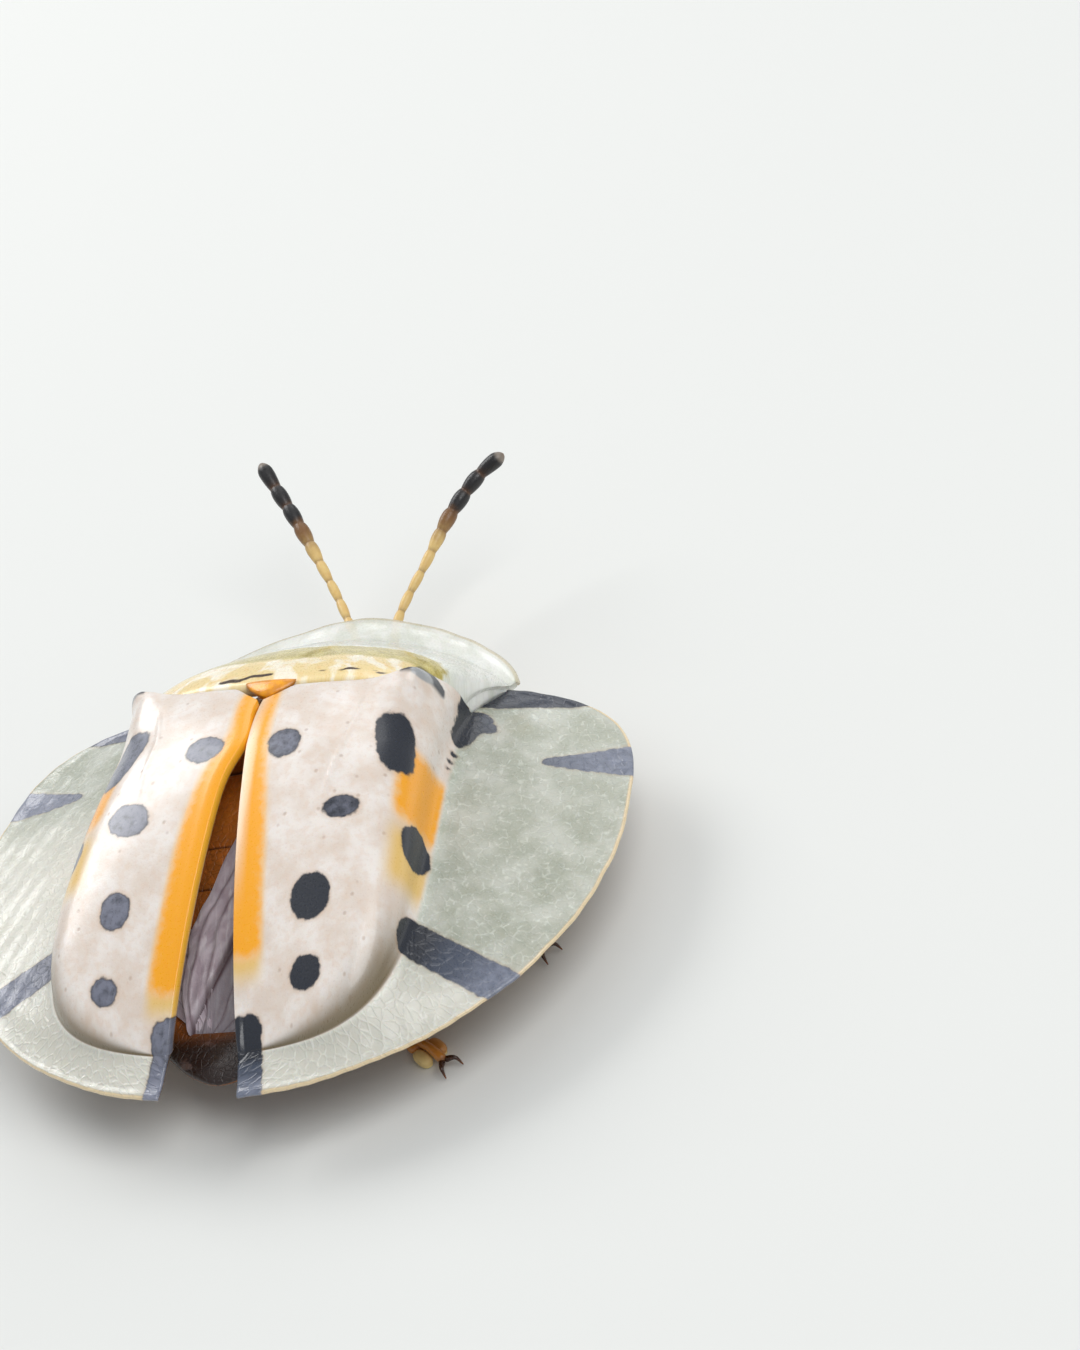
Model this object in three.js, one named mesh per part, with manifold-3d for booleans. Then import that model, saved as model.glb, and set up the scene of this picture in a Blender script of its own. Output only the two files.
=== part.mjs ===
// A spotted tortoise beetle at life size, standing on its six feet with its wing covers a little open.
// Millimetres. +X is the beetle's right, +Y points to its head, +Z is up and the floor is Z = 0.
import * as THREE from 'three';
import { mergeVertices } from 'three/addons/utils/BufferGeometryUtils.js';
import Module from 'manifold-3d';

const wasm = await Module();
wasm.setup();

// Driving dimensions
const GAP = 0.3; // clear space between neighbouring pieces
const SHELL = 0.5; // thickness of the wing covers, the hind wings and the back plate
// The clear margin's outer edge; raised is how much higher its inner front corner lies
const RIM = {
  halfWidth: 6.8, rear: 6.57, front: 3.63, rearPower: 2.02, frontPower: 3.39, height: 1.61, raised: 0.28,
  edge: 0.4,
};
const DISC = {
  halfWidth: 3.25, rear: 5.75, rearPower: 4, frontHeight: 2.44, sideHeight: 2.55, rearHeight: 1.93,
};
// The front corner of the disc, and where the rim's front edge starts
const SHOULDER = { x: 3.51, y: 2.33, rimX: 3.75 };
const CROWN = { rise: 2.0, y: 0.74, power: 1.55, round: 1.17, fall: 0.1 }; // top of the dome on the midline
const DOME = { plan: 3.13, round: 3.05 }; // how square the dome's cross-section is
const FRONT_PART = 0.28; // share of a wing cover's rows that lies before the widest place
const BASE = { y: 1.76, slope: 0.05 }; // front edge of the wing covers beside the scutellum
const NOTCH = { depth: 0.6, halfWidth: 0.75 }; // the corner that makes room for the scutellum
const SUTURE = { x: 0.15, bow: 0.28 }; // how far the inner edge is from the midline, and how much it bulges
const OPENING = { right: 5.2, left: 5.4, hingeX: 0.3 }; // degrees that each wing cover is swung outwards
const PRONOTUM = {
  halfWidth: 3.98, widestY: 4.1, frontY: 6.16, power: 1.48, rearY: BASE.y + 0.18,
  frontZ: 2.24, cornerZ: 1.95, crestZ: 4.33, brim: 0.84, corner: 0.05,
};
const SCUTELLUM = { y: BASE.y + 0.08, z: 3.98, thick: 0.42, halfWidth: 0.6, ahead: 0.12, behind: 0.42 };
const WING = {
  halfWidth: 2.45, endWidth: 0.35, front: 0.25, rear: 4.15, power: 2.6, arch: 2.2, fall: 0.55,
  drop: SHELL + GAP - 0.02, sunk: 0.1, tip: 0.3, vein: 0.12, spread: 1.15,
};
const HEAD = { y: 5.4, z: 1.25, halfWidth: 0.78, halfLength: 0.5, halfHeight: 0.6 };
// The lip, jaws and mouth feelers, measured from the middle of the head
const MOUTH = {
  lip: { at: [0, 0.28, -0.42], size: [0.42, 0.25, 0.22] },
  jaw: { at: [0.17, 0.36, -0.62], size: [0.2, 0.16, 0.16] },
  palp: { path: [[0.34, 0.15, -0.5], [0.52, 0.32, -0.66], [0.5, 0.52, -0.76]], radii: [0.13, 0.13, 0.08] },
};
const EYE = { x: 0.98, y: 5.42, z: 1.38, radius: 0.3, socket: 0.18, tall: 1.25 };
const FEELER = { joints: 11, root: 0.25, shaft: 0.23, club: 0.3, tip: 0.1, waist: 0.86 };
const LEG = {
  hip: 0.42, coxa: 0.34, root: 0.28, femur: 0.36, knee: 0.27, tibia: 0.3, heel: 0.26,
  pad: 0.27, wrist: [0.23, 0.2], claw: [0.14, 0.11, 0.05], foot: 0.2,
};

// Sections of the body: place along Y, half width, lowest and highest level
const NECK = [[3.75, 1.35, 1.15, 3.0], [4.2, 1.45, 1.0, 2.75], [4.58, 1.2, 1.0, 2.5]];
const TRUNK = [
  [-0.85, 2.35, 1.15, 2.3], [-0.3, 2.5, 1.15, 2.45], [0.6, 2.55, 1.15, 2.6],
  [1.6, 2.45, 1.15, 2.75], [2.6, 2.1, 1.15, 2.75], [3.4, 1.5, 1.15, 2.5],
];
const BACK = [
  [-0.85, 0.75, 2.0, 3.2], [0, 0.8, 2.0, 3.35], [0.58, 1.4, 2.0, 3.45], [1.2, 1.5, 2.0, 3.6],
  [1.88, 1.4, 2.0, 3.6],
];
const LOIN = [[-1.9, 0.3, 1.9, 2.2], [-1.5, 0.45, 1.9, 2.85], [-1.15, 0.7, 1.9, 3.15]];
const ABDOMEN = {
  front: -1.15, rear: -5.0, rings: 5, halfWidth: 2.5, groove: 0.09,
  low: 1.0, least: 1.5, high: 2.3, spare: 0.45,
};
const TAIL = [
  [-6.0, 0.28, 1.1, 1.38], [-5.75, 0.42, 1.02, 1.45], [-5.3, 0.46, 1.0, 1.5], [-4.7, 0.9, 1.0, 1.5],
];

// Where the feelers and legs go, on the right side or on each side where the two differ
const FEELER_PATH = {
  right: [
    [0.34, 6.12, 1.2], [0.38, 7.0, 1.45], [0.85, 8.28, 1.9], [1.39, 9.38, 2.4], [2.04, 10.07, 2.8],
    [2.49, 10.29, 3.0],
  ],
  left: [
    [-0.38, 6.12, 1.2], [-1.06, 7.57, 1.45], [-1.72, 8.61, 1.9], [-2.42, 9.62, 2.4], [-2.95, 10.3, 2.8],
    [-3.3, 10.76, 3.1],
  ],
};
const LEG_PATHS = {
  front: { coxa: [0.75, 3.35, 0.52], knee: [2.25, 3.85, 0.98], ankle: [2.7, 4.45, 0.5], toe: [3.45, 5.0] },
  middle: { coxa: [1.05, 1.05, 0.52], knee: [3.1, 0.35, 1.0], ankle: [4.05, -1.1, 0.5], toe: [5.38, -1.82] },
  hind: { coxa: [1.05, -1.0, 0.52], knee: [2.75, -1.95, 0.98], ankle: [2.7, -3.65, 0.5], toe: [4.02, -4.66] },
};
const LEFT_HIND = { ankle: [2.45, -3.35, 0.5], toe: [3.6, -4.2] }; // this foot is drawn in under the shell

const COLOURS = {
  disc: { color: 0xe9d9c4, roughness: 0.3 },
  plate: { color: 0xd8cf9f, roughness: 0.3 },
  scutellum: { color: 0xd98a1e, roughness: 0.35 },
  wing: { color: 0x8c7d84, roughness: 0.4 },
  body: { color: 0x7a3e14, roughness: 0.5 },
  limb: { color: 0xc9822e, roughness: 0.45 },
  feeler: { color: 0xd9b56a, roughness: 0.45 },
  eye: { color: 0x1a1410, roughness: 0.15 },
};

const lerp = THREE.MathUtils.lerp;
const clamp = THREE.MathUtils.clamp;
const point = (x, y, z) => new THREE.Vector3(x, y, z);

// Makes a closed geometry from points and triangles, leaving out triangles that have no area
function closedGeometry(points, triangles) {
  const soup = new THREE.BufferGeometry();
  soup.setAttribute('position', new THREE.Float32BufferAttribute(points.flatMap((p) => [p.x, p.y, p.z]), 3));
  soup.setIndex(triangles.flat());
  const merged = mergeVertices(soup, 2e-3);
  const kept = [];
  for (let i = 0; i < merged.index.count; i += 3) {
    const [a, b, c] = [0, 1, 2].map((k) => merged.index.getX(i + k));
    if (a !== b && b !== c && c !== a) kept.push(a, b, c);
  }
  merged.setIndex(kept);
  return merged;
}

// Points by row and column, from a function of the shares of the way along both
function sheetGrid(rows, columns, pointAt) {
  return Array.from({ length: rows + 1 }, (_, r) => (
    Array.from({ length: columns + 1 }, (__, c) => pointAt(r / rows, c / columns, r, c))
  ));
}

// A thin closed shell between two grids of points, top[row][column] and under[row][column]
function shell(top, under, flipped) {
  const rows = top.length;
  const columns = top[0].length;
  const points = [...top.flat(), ...under.flat()];
  const at = (r, c, low) => (low ? rows * columns : 0) + r * columns + c;
  const triangles = [];
  const quad = (a, b, c, d) => triangles.push([a, b, c], [a, c, d]);
  for (let r = 0; r < rows - 1; r += 1) {
    for (let c = 0; c < columns - 1; c += 1) {
      quad(at(r, c), at(r + 1, c), at(r + 1, c + 1), at(r, c + 1));
      triangles.push([at(r, c, 1), at(r + 1, c + 1, 1), at(r + 1, c, 1)]);
      triangles.push([at(r, c, 1), at(r, c + 1, 1), at(r + 1, c + 1, 1)]);
    }
    quad(at(r, 0), at(r, 0, 1), at(r + 1, 0, 1), at(r + 1, 0));
    quad(at(r + 1, columns - 1), at(r + 1, columns - 1, 1), at(r, columns - 1, 1), at(r, columns - 1));
  }
  for (let c = 0; c < columns - 1; c += 1) {
    quad(at(0, c + 1), at(0, c + 1, 1), at(0, c, 1), at(0, c));
    quad(at(rows - 1, c), at(rows - 1, c, 1), at(rows - 1, c + 1, 1), at(rows - 1, c + 1));
  }
  return closedGeometry(points, flipped ? triangles.map(([a, b, c]) => [a, c, b]) : triangles);
}

// A closed solid through a row of like rings of points, with a flat cap on each end
function loft(rings) {
  const sides = rings[0].length;
  const points = rings.flat();
  const triangles = [];
  for (let r = 0; r < rings.length - 1; r += 1) {
    for (let s = 0; s < sides; s += 1) {
      const next = (s + 1) % sides;
      triangles.push([r * sides + s, r * sides + next, (r + 1) * sides + next]);
      triangles.push([r * sides + s, (r + 1) * sides + next, (r + 1) * sides + s]);
    }
  }
  const last = (rings.length - 1) * sides;
  for (let s = 1; s < sides - 1; s += 1) {
    triangles.push([0, s + 1, s], [last, last + s, last + s + 1]);
  }
  return closedGeometry(points, triangles);
}

// A round limb along a path, with a radius at each point of it
function limb(path, radii, sides = 7) {
  const rings = path.map((centre, i) => {
    const along = path[Math.min(i + 1, path.length - 1)].clone().sub(path[Math.max(i - 1, 0)]).normalize();
    const across = point(0, 0, 1).cross(along).normalize();
    const up = along.clone().cross(across);
    return Array.from({ length: sides }, (_, s) => {
      const angle = (2 * Math.PI * (s + 0.5)) / sides;
      const aside = centre.clone().addScaledVector(across, radii[i] * Math.cos(angle));
      return aside.addScaledVector(up, radii[i] * Math.sin(angle));
    });
  });
  return loft(rings);
}

// A rounded lump with three half sizes
function lump(centre, sizes, across = 8, high = 5) {
  const ball = new THREE.SphereGeometry(1, across, high);
  ball.deleteAttribute('normal');
  ball.deleteAttribute('uv');
  ball.rotateX(Math.PI / 2);
  ball.scale(sizes[0], sizes[1], sizes[2]);
  ball.translate(centre.x, centre.y, centre.z);
  const merged = mergeVertices(ball, 1e-3);
  const index = Array.from(merged.index.array);
  const triangles = [];
  for (let i = 0; i < index.length; i += 3) triangles.push(index.slice(i, i + 3));
  const position = merged.getAttribute('position');
  const points = Array.from({ length: position.count }, (_, i) => point().fromBufferAttribute(position, i));
  return closedGeometry(points, triangles);
}

// Joining and cutting
function toSolid(geometry) {
  const mesh = new wasm.Mesh({
    numProp: 3,
    vertProperties: new Float32Array(geometry.getAttribute('position').array),
    triVerts: new Uint32Array(geometry.index.array),
  });
  return new wasm.Manifold(mesh);
}

// The largest closed body of a solid, as a geometry
function toGeometry(solid) {
  const [largest] = solid.decompose().sort((a, b) => b.volume() - a.volume());
  const mesh = largest.getMesh();
  const geometry = new THREE.BufferGeometry();
  geometry.setAttribute('position', new THREE.Float32BufferAttribute(mesh.vertProperties, 3));
  geometry.setIndex(Array.from(mesh.triVerts));
  return geometry;
}

const fuse = (geometries) => geometries.map(toSolid).reduce((whole, piece) => whole.add(piece));

// The dome's height above the disc's edge along the midline
function midlineRise(y) {
  if (y > CROWN.y) return CROWN.rise - CROWN.fall * ((y - CROWN.y) / (BASE.y - CROWN.y)) ** 2;
  const far = clamp((CROWN.y - y) / (CROWN.y + DISC.rear), 0, 1);
  return CROWN.rise * (1 - far ** CROWN.power) ** (1 / CROWN.round);
}

// The level of the disc's edge beside a place on the midline: highest at the sides, lowest behind
function edgeLevel(y) {
  if (y > 0) return lerp(DISC.sideHeight, DISC.frontHeight, y / BASE.y);
  return lerp(DISC.sideHeight, DISC.rearHeight, Math.min(1, -y / DISC.rear) ** (2 / 1.3));
}

// How far a squarish oval of a given power reaches in Y at a place in X, both as fractions of its half sizes
const beyond = (x, power) => (1 - x ** power) ** (1 / power);

// A point of a squarish oval in its own angle, as fractions of its two half sizes
function oval(angle, power) {
  const c = Math.cos(angle);
  const s = Math.sin(angle);
  const reach = (Math.abs(c) ** power + Math.abs(s) ** power) ** (-1 / power);
  return [c * reach, s * reach];
}

// A point of a squarish oval by the powers of its cosine and sine, as fractions of its two half sizes
const arc = (angle, power) => [Math.cos(angle) ** (2 / power), Math.sin(angle) ** (2 / power)];

// The wing cover's front edge when closed: notched at the scutellum, swept forwards at the shoulder
function frontEdgeY(x) {
  if (x > SHOULDER.x) {
    const rimY = RIM.front * beyond(SHOULDER.rimX / RIM.halfWidth, RIM.frontPower);
    return lerp(SHOULDER.y, rimY, (x - SHOULDER.x) / (SHOULDER.rimX - SHOULDER.x));
  }
  const sweep = SHOULDER.y - BASE.y + BASE.slope * SHOULDER.x;
  const notch = NOTCH.depth * Math.max(0, 1 - x / NOTCH.halfWidth);
  return BASE.y - notch - BASE.slope * x + sweep * (x / SHOULDER.x) ** 6;
}

// A point of the right wing cover, closed. Along runs 0 to 1 from the base round to the tip. Across runs
// 0 to 1 from the suture over the dome to the disc's edge, and 1 to 2 from there over the margin to the rim.
function wingCoverPoint(along, across, inset) {
  const out = Math.min(across, 1) * (Math.PI / 2);
  const side = Math.sin(out) ** (2 / DOME.plan);
  const lift = Math.abs(Math.cos(out)) ** (2 / DOME.round);
  const discX = DISC.halfWidth - inset;
  const discRear = DISC.rear - inset;
  let edge;
  let rim;
  let y;
  let start;
  let level;
  let rimLevel = RIM.height;
  if (along < FRONT_PART) {
    const k = 1 - along / FRONT_PART;
    rimLevel += RIM.raised * k * k;
    const angle = k * Math.acos((SHOULDER.rimX / RIM.halfWidth) ** (RIM.frontPower / 2));
    edge = [lerp(discX, SHOULDER.x - inset, k * k), SHOULDER.y * k];
    const rimArc = arc(angle, RIM.frontPower);
    rim = [RIM.halfWidth * rimArc[0], RIM.front * rimArc[1]];
    start = k * frontEdgeY(0);
    y = k * frontEdgeY((edge[0] + inset) * side);
    level = lerp(DISC.sideHeight, DISC.frontHeight, k);
  } else {
    const angle = ((along - FRONT_PART) / (1 - FRONT_PART)) * (Math.PI / 2);
    const discOval = oval(angle, DISC.rearPower);
    const rimOval = oval(angle, RIM.rearPower);
    edge = [discX * discOval[0], -discRear * discOval[1]];
    rim = [RIM.halfWidth * rimOval[0], -RIM.rear * rimOval[1]];
    start = -discRear * Math.sin(angle) ** 1.3;
    y = lerp(start, edge[1], side * side);
    level = lerp(DISC.sideHeight, DISC.rearHeight, Math.sin(angle) ** 2);
  }
  const edgeZ = level - (inset ? SHELL : 0);
  const beside = (x) => SUTURE.x + x * (1 - SUTURE.x / RIM.halfWidth);
  if (across <= 1) {
    const reach = clamp((BASE.y - start) / (BASE.y + discRear), 0, 1);
    const bowed = SUTURE.bow * Math.sin(Math.PI * reach) * (1 - side);
    return point(beside(edge[0] * side) - bowed, y, edgeZ + midlineRise(start) * lift);
  }
  const m = across - 1;
  const rimZ = rimLevel - (inset ? RIM.edge : 0);
  const z = rimZ + (edgeZ - rimZ) * (1 - m) ** 1.15;
  return point(beside(lerp(edge[0], rim[0], m)), lerp(edge[1], rim[1], m), z);
}

function wingCover(side) {
  const rows = 26;
  const across = [0, 0.16, 0.34, 0.5, 0.64, 0.77, 0.89, 1, 1.25, 1.5, 1.75, 2];
  const grid = (inset) => Array.from({ length: rows + 1 }, (_, r) => across.map((c) => {
    const p = wingCoverPoint(r / rows, c, inset);
    return point(side * (p.x - OPENING.hingeX), p.y - BASE.y, p.z);
  }));
  return shell(grid(0), grid(SHELL), side < 0);
}

// The open wing cover's front edge, by its place along the closed one
function openFrontEdge(x) {
  const turn = THREE.MathUtils.degToRad(OPENING.right);
  const c = Math.cos(turn);
  const s = Math.sin(turn);
  const dx = x - OPENING.hingeX;
  const dy = frontEdgeY(x) - BASE.y;
  return [OPENING.hingeX + dx * c - dy * s, BASE.y + dx * s + dy * c];
}

// The pronotum: an arched plate with a flat brim, hollowed behind to the shape of the wing covers' base
function pronotumPoint(u, v, lowered) {
  const far = Math.abs(u);
  const [rearX, openY] = openFrontEdge(far * SHOULDER.rimX);
  const angle = far * (Math.PI / 2);
  const [ahead, outward] = arc(angle, PRONOTUM.power);
  const frontX = PRONOTUM.halfWidth * outward;
  const frontY = lerp(PRONOTUM.widestY, PRONOTUM.frontY, ahead);
  const rearY = Math.min(Math.max(openY, PRONOTUM.rearY) + GAP, frontY - PRONOTUM.corner);
  const frontZ = lerp(PRONOTUM.frontZ, PRONOTUM.cornerZ, far * far);
  const crest = Math.max(0, 1 - (far / 0.97) ** 4) ** 0.6;
  const rearZ = lerp(PRONOTUM.cornerZ + 0.1, PRONOTUM.crestZ, crest);
  const fall = Math.max(0, 1 - (v / PRONOTUM.brim) ** 1.6);
  const z = frontZ + (rearZ - frontZ) * fall;
  const x = lerp(rearX, frontX, v) * Math.sign(u);
  return point(x, lerp(rearY, frontY, v), z - lowered * lerp(SHELL, RIM.edge, v));
}

// A body block: squarish cross-sections along Y, each with its half width, underside and top
function bodyBlock(stations, sides = 16) {
  const rings = stations.map(([y, halfWidth, low, high]) => Array.from({ length: sides }, (_, s) => {
    const [c, n] = oval(((s + 0.5) * 2 * Math.PI) / sides, 3);
    return point(-halfWidth * c, y, (low + high) / 2 + ((high - low) / 2) * n);
  }));
  return loft(rings);
}

function pronotum() {
  const columns = 24;
  const rows = 7;
  const grid = (lowered) => sheetGrid(columns, rows, (across, along) => (
    pronotumPoint(across * 2 - 1, along, lowered)
  ));
  return toGeometry(fuse([shell(grid(0), grid(1), false), bodyBlock(NECK)]));
}

// The scutellum: a small shield whose point lies between the wing covers
function scutellum() {
  const half = SCUTELLUM.halfWidth;
  const waist = SCUTELLUM.behind / 3;
  const corners = [
    [-half, SCUTELLUM.ahead], [-half / 2, -waist], [0, -SCUTELLUM.behind],
    [half / 2, -waist], [half, SCUTELLUM.ahead],
  ];
  const outline = new THREE.Shape(corners.map(([x, y]) => new THREE.Vector2(x, y)));
  const plate = new THREE.ExtrudeGeometry(outline, { depth: SCUTELLUM.thick, bevelEnabled: false });
  plate.deleteAttribute('normal');
  plate.deleteAttribute('uv');
  return mergeVertices(plate, 1e-3);
}

// The middle level of a folded wing's upper face at a place along Y
const wingLevel = (y) => edgeLevel(y) - WING.drop + midlineRise(y) - WING.sunk;

// A point of the right folded hind wing. Its inner edge starts out beside the body's back and reaches the
// midline behind. Raised is how far the point stands over the upper face.
function wingPoint(along, across, raised) {
  const y = lerp(WING.front, -WING.rear, along);
  const [, width] = oval(Math.acos(along), WING.power);
  const [, sideways] = arc(across * (Math.PI / 2), WING.power);
  const inner = lerp(WING.spread, SUTURE.x, THREE.MathUtils.smoothstep(along, 0.3, 0.6));
  const outer = SUTURE.x + Math.max(WING.endWidth, WING.halfWidth * width);
  const x = lerp(inner, outer, sideways);
  const [arch] = arc(Math.min(1, x / (WING.halfWidth + SUTURE.x)) * (Math.PI / 2), WING.arch);
  return point(x, y, wingLevel(y) - (midlineRise(y) - WING.sunk) * WING.fall * (1 - arch) + raised);
}

// A folded hind wing: a thin plate under the dome, with its main veins raised along it
function hindWing(side) {
  const rows = 14;
  const columns = 10;
  const top = sheetGrid(rows, columns, (along, across, r, c) => {
    const p = wingPoint(along, across, c % 3 === 1 && r > 0 && r < rows ? WING.vein : 0);
    return point(side * p.x, p.y, p.z);
  });
  const under = sheetGrid(rows, columns, (along, across) => {
    const p = wingPoint(along, across, -lerp(SHELL, WING.tip, along ** 3));
    return point(side * p.x, p.y, p.z);
  });
  return shell(top, under, side < 0);
}

const thorax = () => toGeometry(fuse([bodyBlock(TRUNK), bodyBlock(BACK)]));

// The abdomen: five rings with a shallow groove between them, and a narrow tip in the gap of the wing covers
function abdomen() {
  const stations = [];
  const steps = ABDOMEN.rings * 3;
  for (let i = 0; i <= steps; i += 1) {
    const along = i / steps;
    const y = lerp(ABDOMEN.front, ABDOMEN.rear, along);
    const groove = i % 3 === 0 && i > 0 && i < steps ? ABDOMEN.groove : 0;
    const halfWidth = ABDOMEN.halfWidth * Math.sqrt(Math.max(0.15, 1 - along ** 2.4)) - groove;
    const belowWing = wingLevel(y) - SHELL - GAP - ABDOMEN.spare;
    const belowShell = edgeLevel(y) - SHELL - GAP + midlineRise(y);
    const room = y > -WING.rear - GAP ? belowWing : belowShell;
    const top = clamp(room, ABDOMEN.least, ABDOMEN.high) - groove;
    stations.push([y, halfWidth, ABDOMEN.low + groove / 2, top]);
  }
  return toGeometry(fuse([bodyBlock(stations.reverse(), 18), bodyBlock(LOIN), bodyBlock(TAIL)]));
}

function eye(side, spare = 0) {
  const size = EYE.radius + spare;
  return lump(point(side * EYE.x, EYE.y, EYE.z), [size, size, size * EYE.tall], 10, 7);
}

// The head: a rounded capsule with its lip, jaws and mouth feelers below, and a socket for each eye
function head() {
  const beside = ([x, y, z], side) => point(side * x, HEAD.y + y, HEAD.z + z);
  const pieces = [
    lump(beside([0, 0, 0], 1), [HEAD.halfWidth, HEAD.halfLength, HEAD.halfHeight], 12, 8),
    lump(beside(MOUTH.lip.at, 1), MOUTH.lip.size),
  ];
  for (const side of [1, -1]) {
    pieces.push(lump(beside(MOUTH.jaw.at, side), MOUTH.jaw.size, 6, 5));
    pieces.push(limb(MOUTH.palp.path.map((knee) => beside(knee, side)), MOUTH.palp.radii, 6));
  }
  const sockets = fuse([eye(1, EYE.socket), eye(-1, EYE.socket)]);
  return toGeometry(fuse(pieces).subtract(sockets));
}

// A feeler of eleven joints, each narrow at its ends, the last ones thickened into a loose club
function feeler(path) {
  const curve = new THREE.CatmullRomCurve3(path.map((p) => point(...p)));
  const stations = [];
  const radii = [];
  const steps = FEELER.joints * 2;
  for (let i = 0; i <= steps; i += 1) {
    const along = i / steps;
    const swell = lerp(FEELER.shaft, FEELER.club, THREE.MathUtils.smoothstep(along, 0.5, 0.75));
    const body = i % 2 === 1 ? swell : swell * FEELER.waist;
    radii.push(i === steps ? FEELER.tip : Math.max(body, i < 2 ? FEELER.root : 0));
    stations.push(curve.getPointAt(along));
  }
  return limb(stations, radii, 8);
}

// A leg: hip, thigh, shin, three flat pads, a claw joint and two claws, cut off flat at the floor
function leg({ coxa, knee, ankle, toe }, side) {
  const at = ([x, y, z]) => point(side * x, y, z);
  const hip = at(coxa);
  const bend = at(knee);
  const heel = at(ankle);
  const end = at([toe[0], toe[1], LEG.foot]);
  const start = point(heel.x, heel.y, LEG.foot + 0.06);
  const ahead = end.clone().sub(start).normalize();
  const aside = point(-ahead.y, ahead.x, 0).normalize();
  const reach = start.distanceTo(end);
  const onFoot = (along, offset = 0) => (
    start.clone().addScaledVector(ahead, along).addScaledVector(aside, offset)
  );
  const pad = (along, offset, spare) => (
    lump(onFoot(along, offset), [LEG.pad + spare, LEG.pad + spare, LEG.pad])
  );
  const pieces = [
    lump(hip, [LEG.hip, LEG.hip, LEG.coxa], 8, 6),
    limb([hip, hip.clone().lerp(bend, 0.45), bend], [LEG.root, LEG.femur, LEG.knee]),
    lump(bend, [LEG.knee, LEG.knee, LEG.knee], 7, 5),
    limb([bend, bend.clone().lerp(heel, 0.6), heel, start], [LEG.knee, LEG.knee, LEG.tibia, LEG.heel]),
    pad(reach * 0.12, 0, 0),
    pad(reach * 0.36, 0, 0.04),
    limb([onFoot(reach * 0.4), onFoot(reach - 0.12)], LEG.wrist),
  ];
  for (const half of [-1, 1]) {
    pieces.push(pad(reach * 0.6, half * 0.2, 0.03));
    const root = onFoot(reach - 0.2, half * 0.06);
    const tip = onFoot(reach + 0.1, half * 0.24).setZ(0.08);
    pieces.push(limb([root, root.clone().lerp(tip, 0.6).setZ(LEG.foot), tip], LEG.claw, 5));
  }
  const floor = new THREE.BoxGeometry(20, 20, 2);
  floor.deleteAttribute('normal');
  floor.deleteAttribute('uv');
  floor.translate(hip.x, hip.y, -1);
  return toGeometry(fuse(pieces).subtract(toSolid(mergeVertices(floor, 1e-3))));
}

const beetle = new THREE.Group();

function add(name, geometry, colour, parent = beetle) {
  const mesh = new THREE.Mesh(geometry, new THREE.MeshStandardMaterial({ ...COLOURS[colour], metalness: 0 }));
  mesh.name = name;
  parent.add(mesh);
  return mesh;
}

add('head', head(), 'body');
add('pronotum', pronotum(), 'plate');
add('scutellum', scutellum(), 'scutellum').position.set(0, SCUTELLUM.y, SCUTELLUM.z);
add('thorax', thorax(), 'body');
add('abdomen', abdomen(), 'body');
for (const [word, side] of [['left', -1], ['right', 1]]) {
  add(`eye_${word}`, eye(side), 'eye');
  add(`antenna_${word}`, feeler(FEELER_PATH[word]), 'feeler');
  add(`hindwing_${word}`, hindWing(side), 'wing');
  const cover = add(`elytron_${word}`, wingCover(side), 'disc');
  cover.position.set(side * OPENING.hingeX, BASE.y, 0);
  cover.rotation.z = side * THREE.MathUtils.degToRad(OPENING[word]);
  for (const [pair, path] of Object.entries(LEG_PATHS)) {
    const drawnIn = pair === 'hind' && word === 'left' ? LEFT_HIND : {};
    add(`leg_${pair}_${word}`, leg({ ...path, ...drawnIn }, side), 'limb');
  }
}

// The origin is under the middle of the whole beetle's box, on the floor
beetle.updateMatrixWorld(true);
const box = new THREE.Box3().setFromObject(beetle, true);
beetle.position.set(-(box.min.x + box.max.x) / 2, -(box.min.y + box.max.y) / 2, -box.min.z);

export default beetle;
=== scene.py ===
"""Dresses the solids of a life-size spotted tortoise beetle as a museum model.

Sizes here are in millimetres in the beetle's own frame: X to its right, Y to its head, Z up from the floor,
with Y = 0 where the closed shell is widest. place() turns them into the frame's metres.
"""

import math
from functools import partial

import bmesh
import bpy
import numpy as np
from bpy.props import FloatProperty, FloatVectorProperty, PointerProperty
from mathutils import Matrix, Vector


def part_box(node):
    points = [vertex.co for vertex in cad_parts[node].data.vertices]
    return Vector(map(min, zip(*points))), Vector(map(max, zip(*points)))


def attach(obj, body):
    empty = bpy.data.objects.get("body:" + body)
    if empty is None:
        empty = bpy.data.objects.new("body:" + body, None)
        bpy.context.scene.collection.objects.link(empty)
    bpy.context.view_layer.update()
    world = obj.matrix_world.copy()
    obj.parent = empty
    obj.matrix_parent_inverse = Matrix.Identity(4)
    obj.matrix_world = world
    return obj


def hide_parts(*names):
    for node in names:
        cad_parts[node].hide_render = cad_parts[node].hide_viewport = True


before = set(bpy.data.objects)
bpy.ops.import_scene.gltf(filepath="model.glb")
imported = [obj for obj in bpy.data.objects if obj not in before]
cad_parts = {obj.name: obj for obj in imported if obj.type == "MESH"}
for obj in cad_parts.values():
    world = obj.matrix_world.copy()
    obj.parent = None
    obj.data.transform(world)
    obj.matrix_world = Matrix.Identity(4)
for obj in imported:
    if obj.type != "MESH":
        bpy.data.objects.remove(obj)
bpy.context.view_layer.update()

bl_info = {
    "name": "Spotted tortoise beetle",
    "version": (1, 0, 0),
    "blender": (4, 5, 0),
    "location": "3D View > Sidebar > Beetle",
    "description": "Builds a life-size tortoise beetle around its fixed frame",
    "category": "Add Mesh",
}

MM = 0.001

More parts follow.
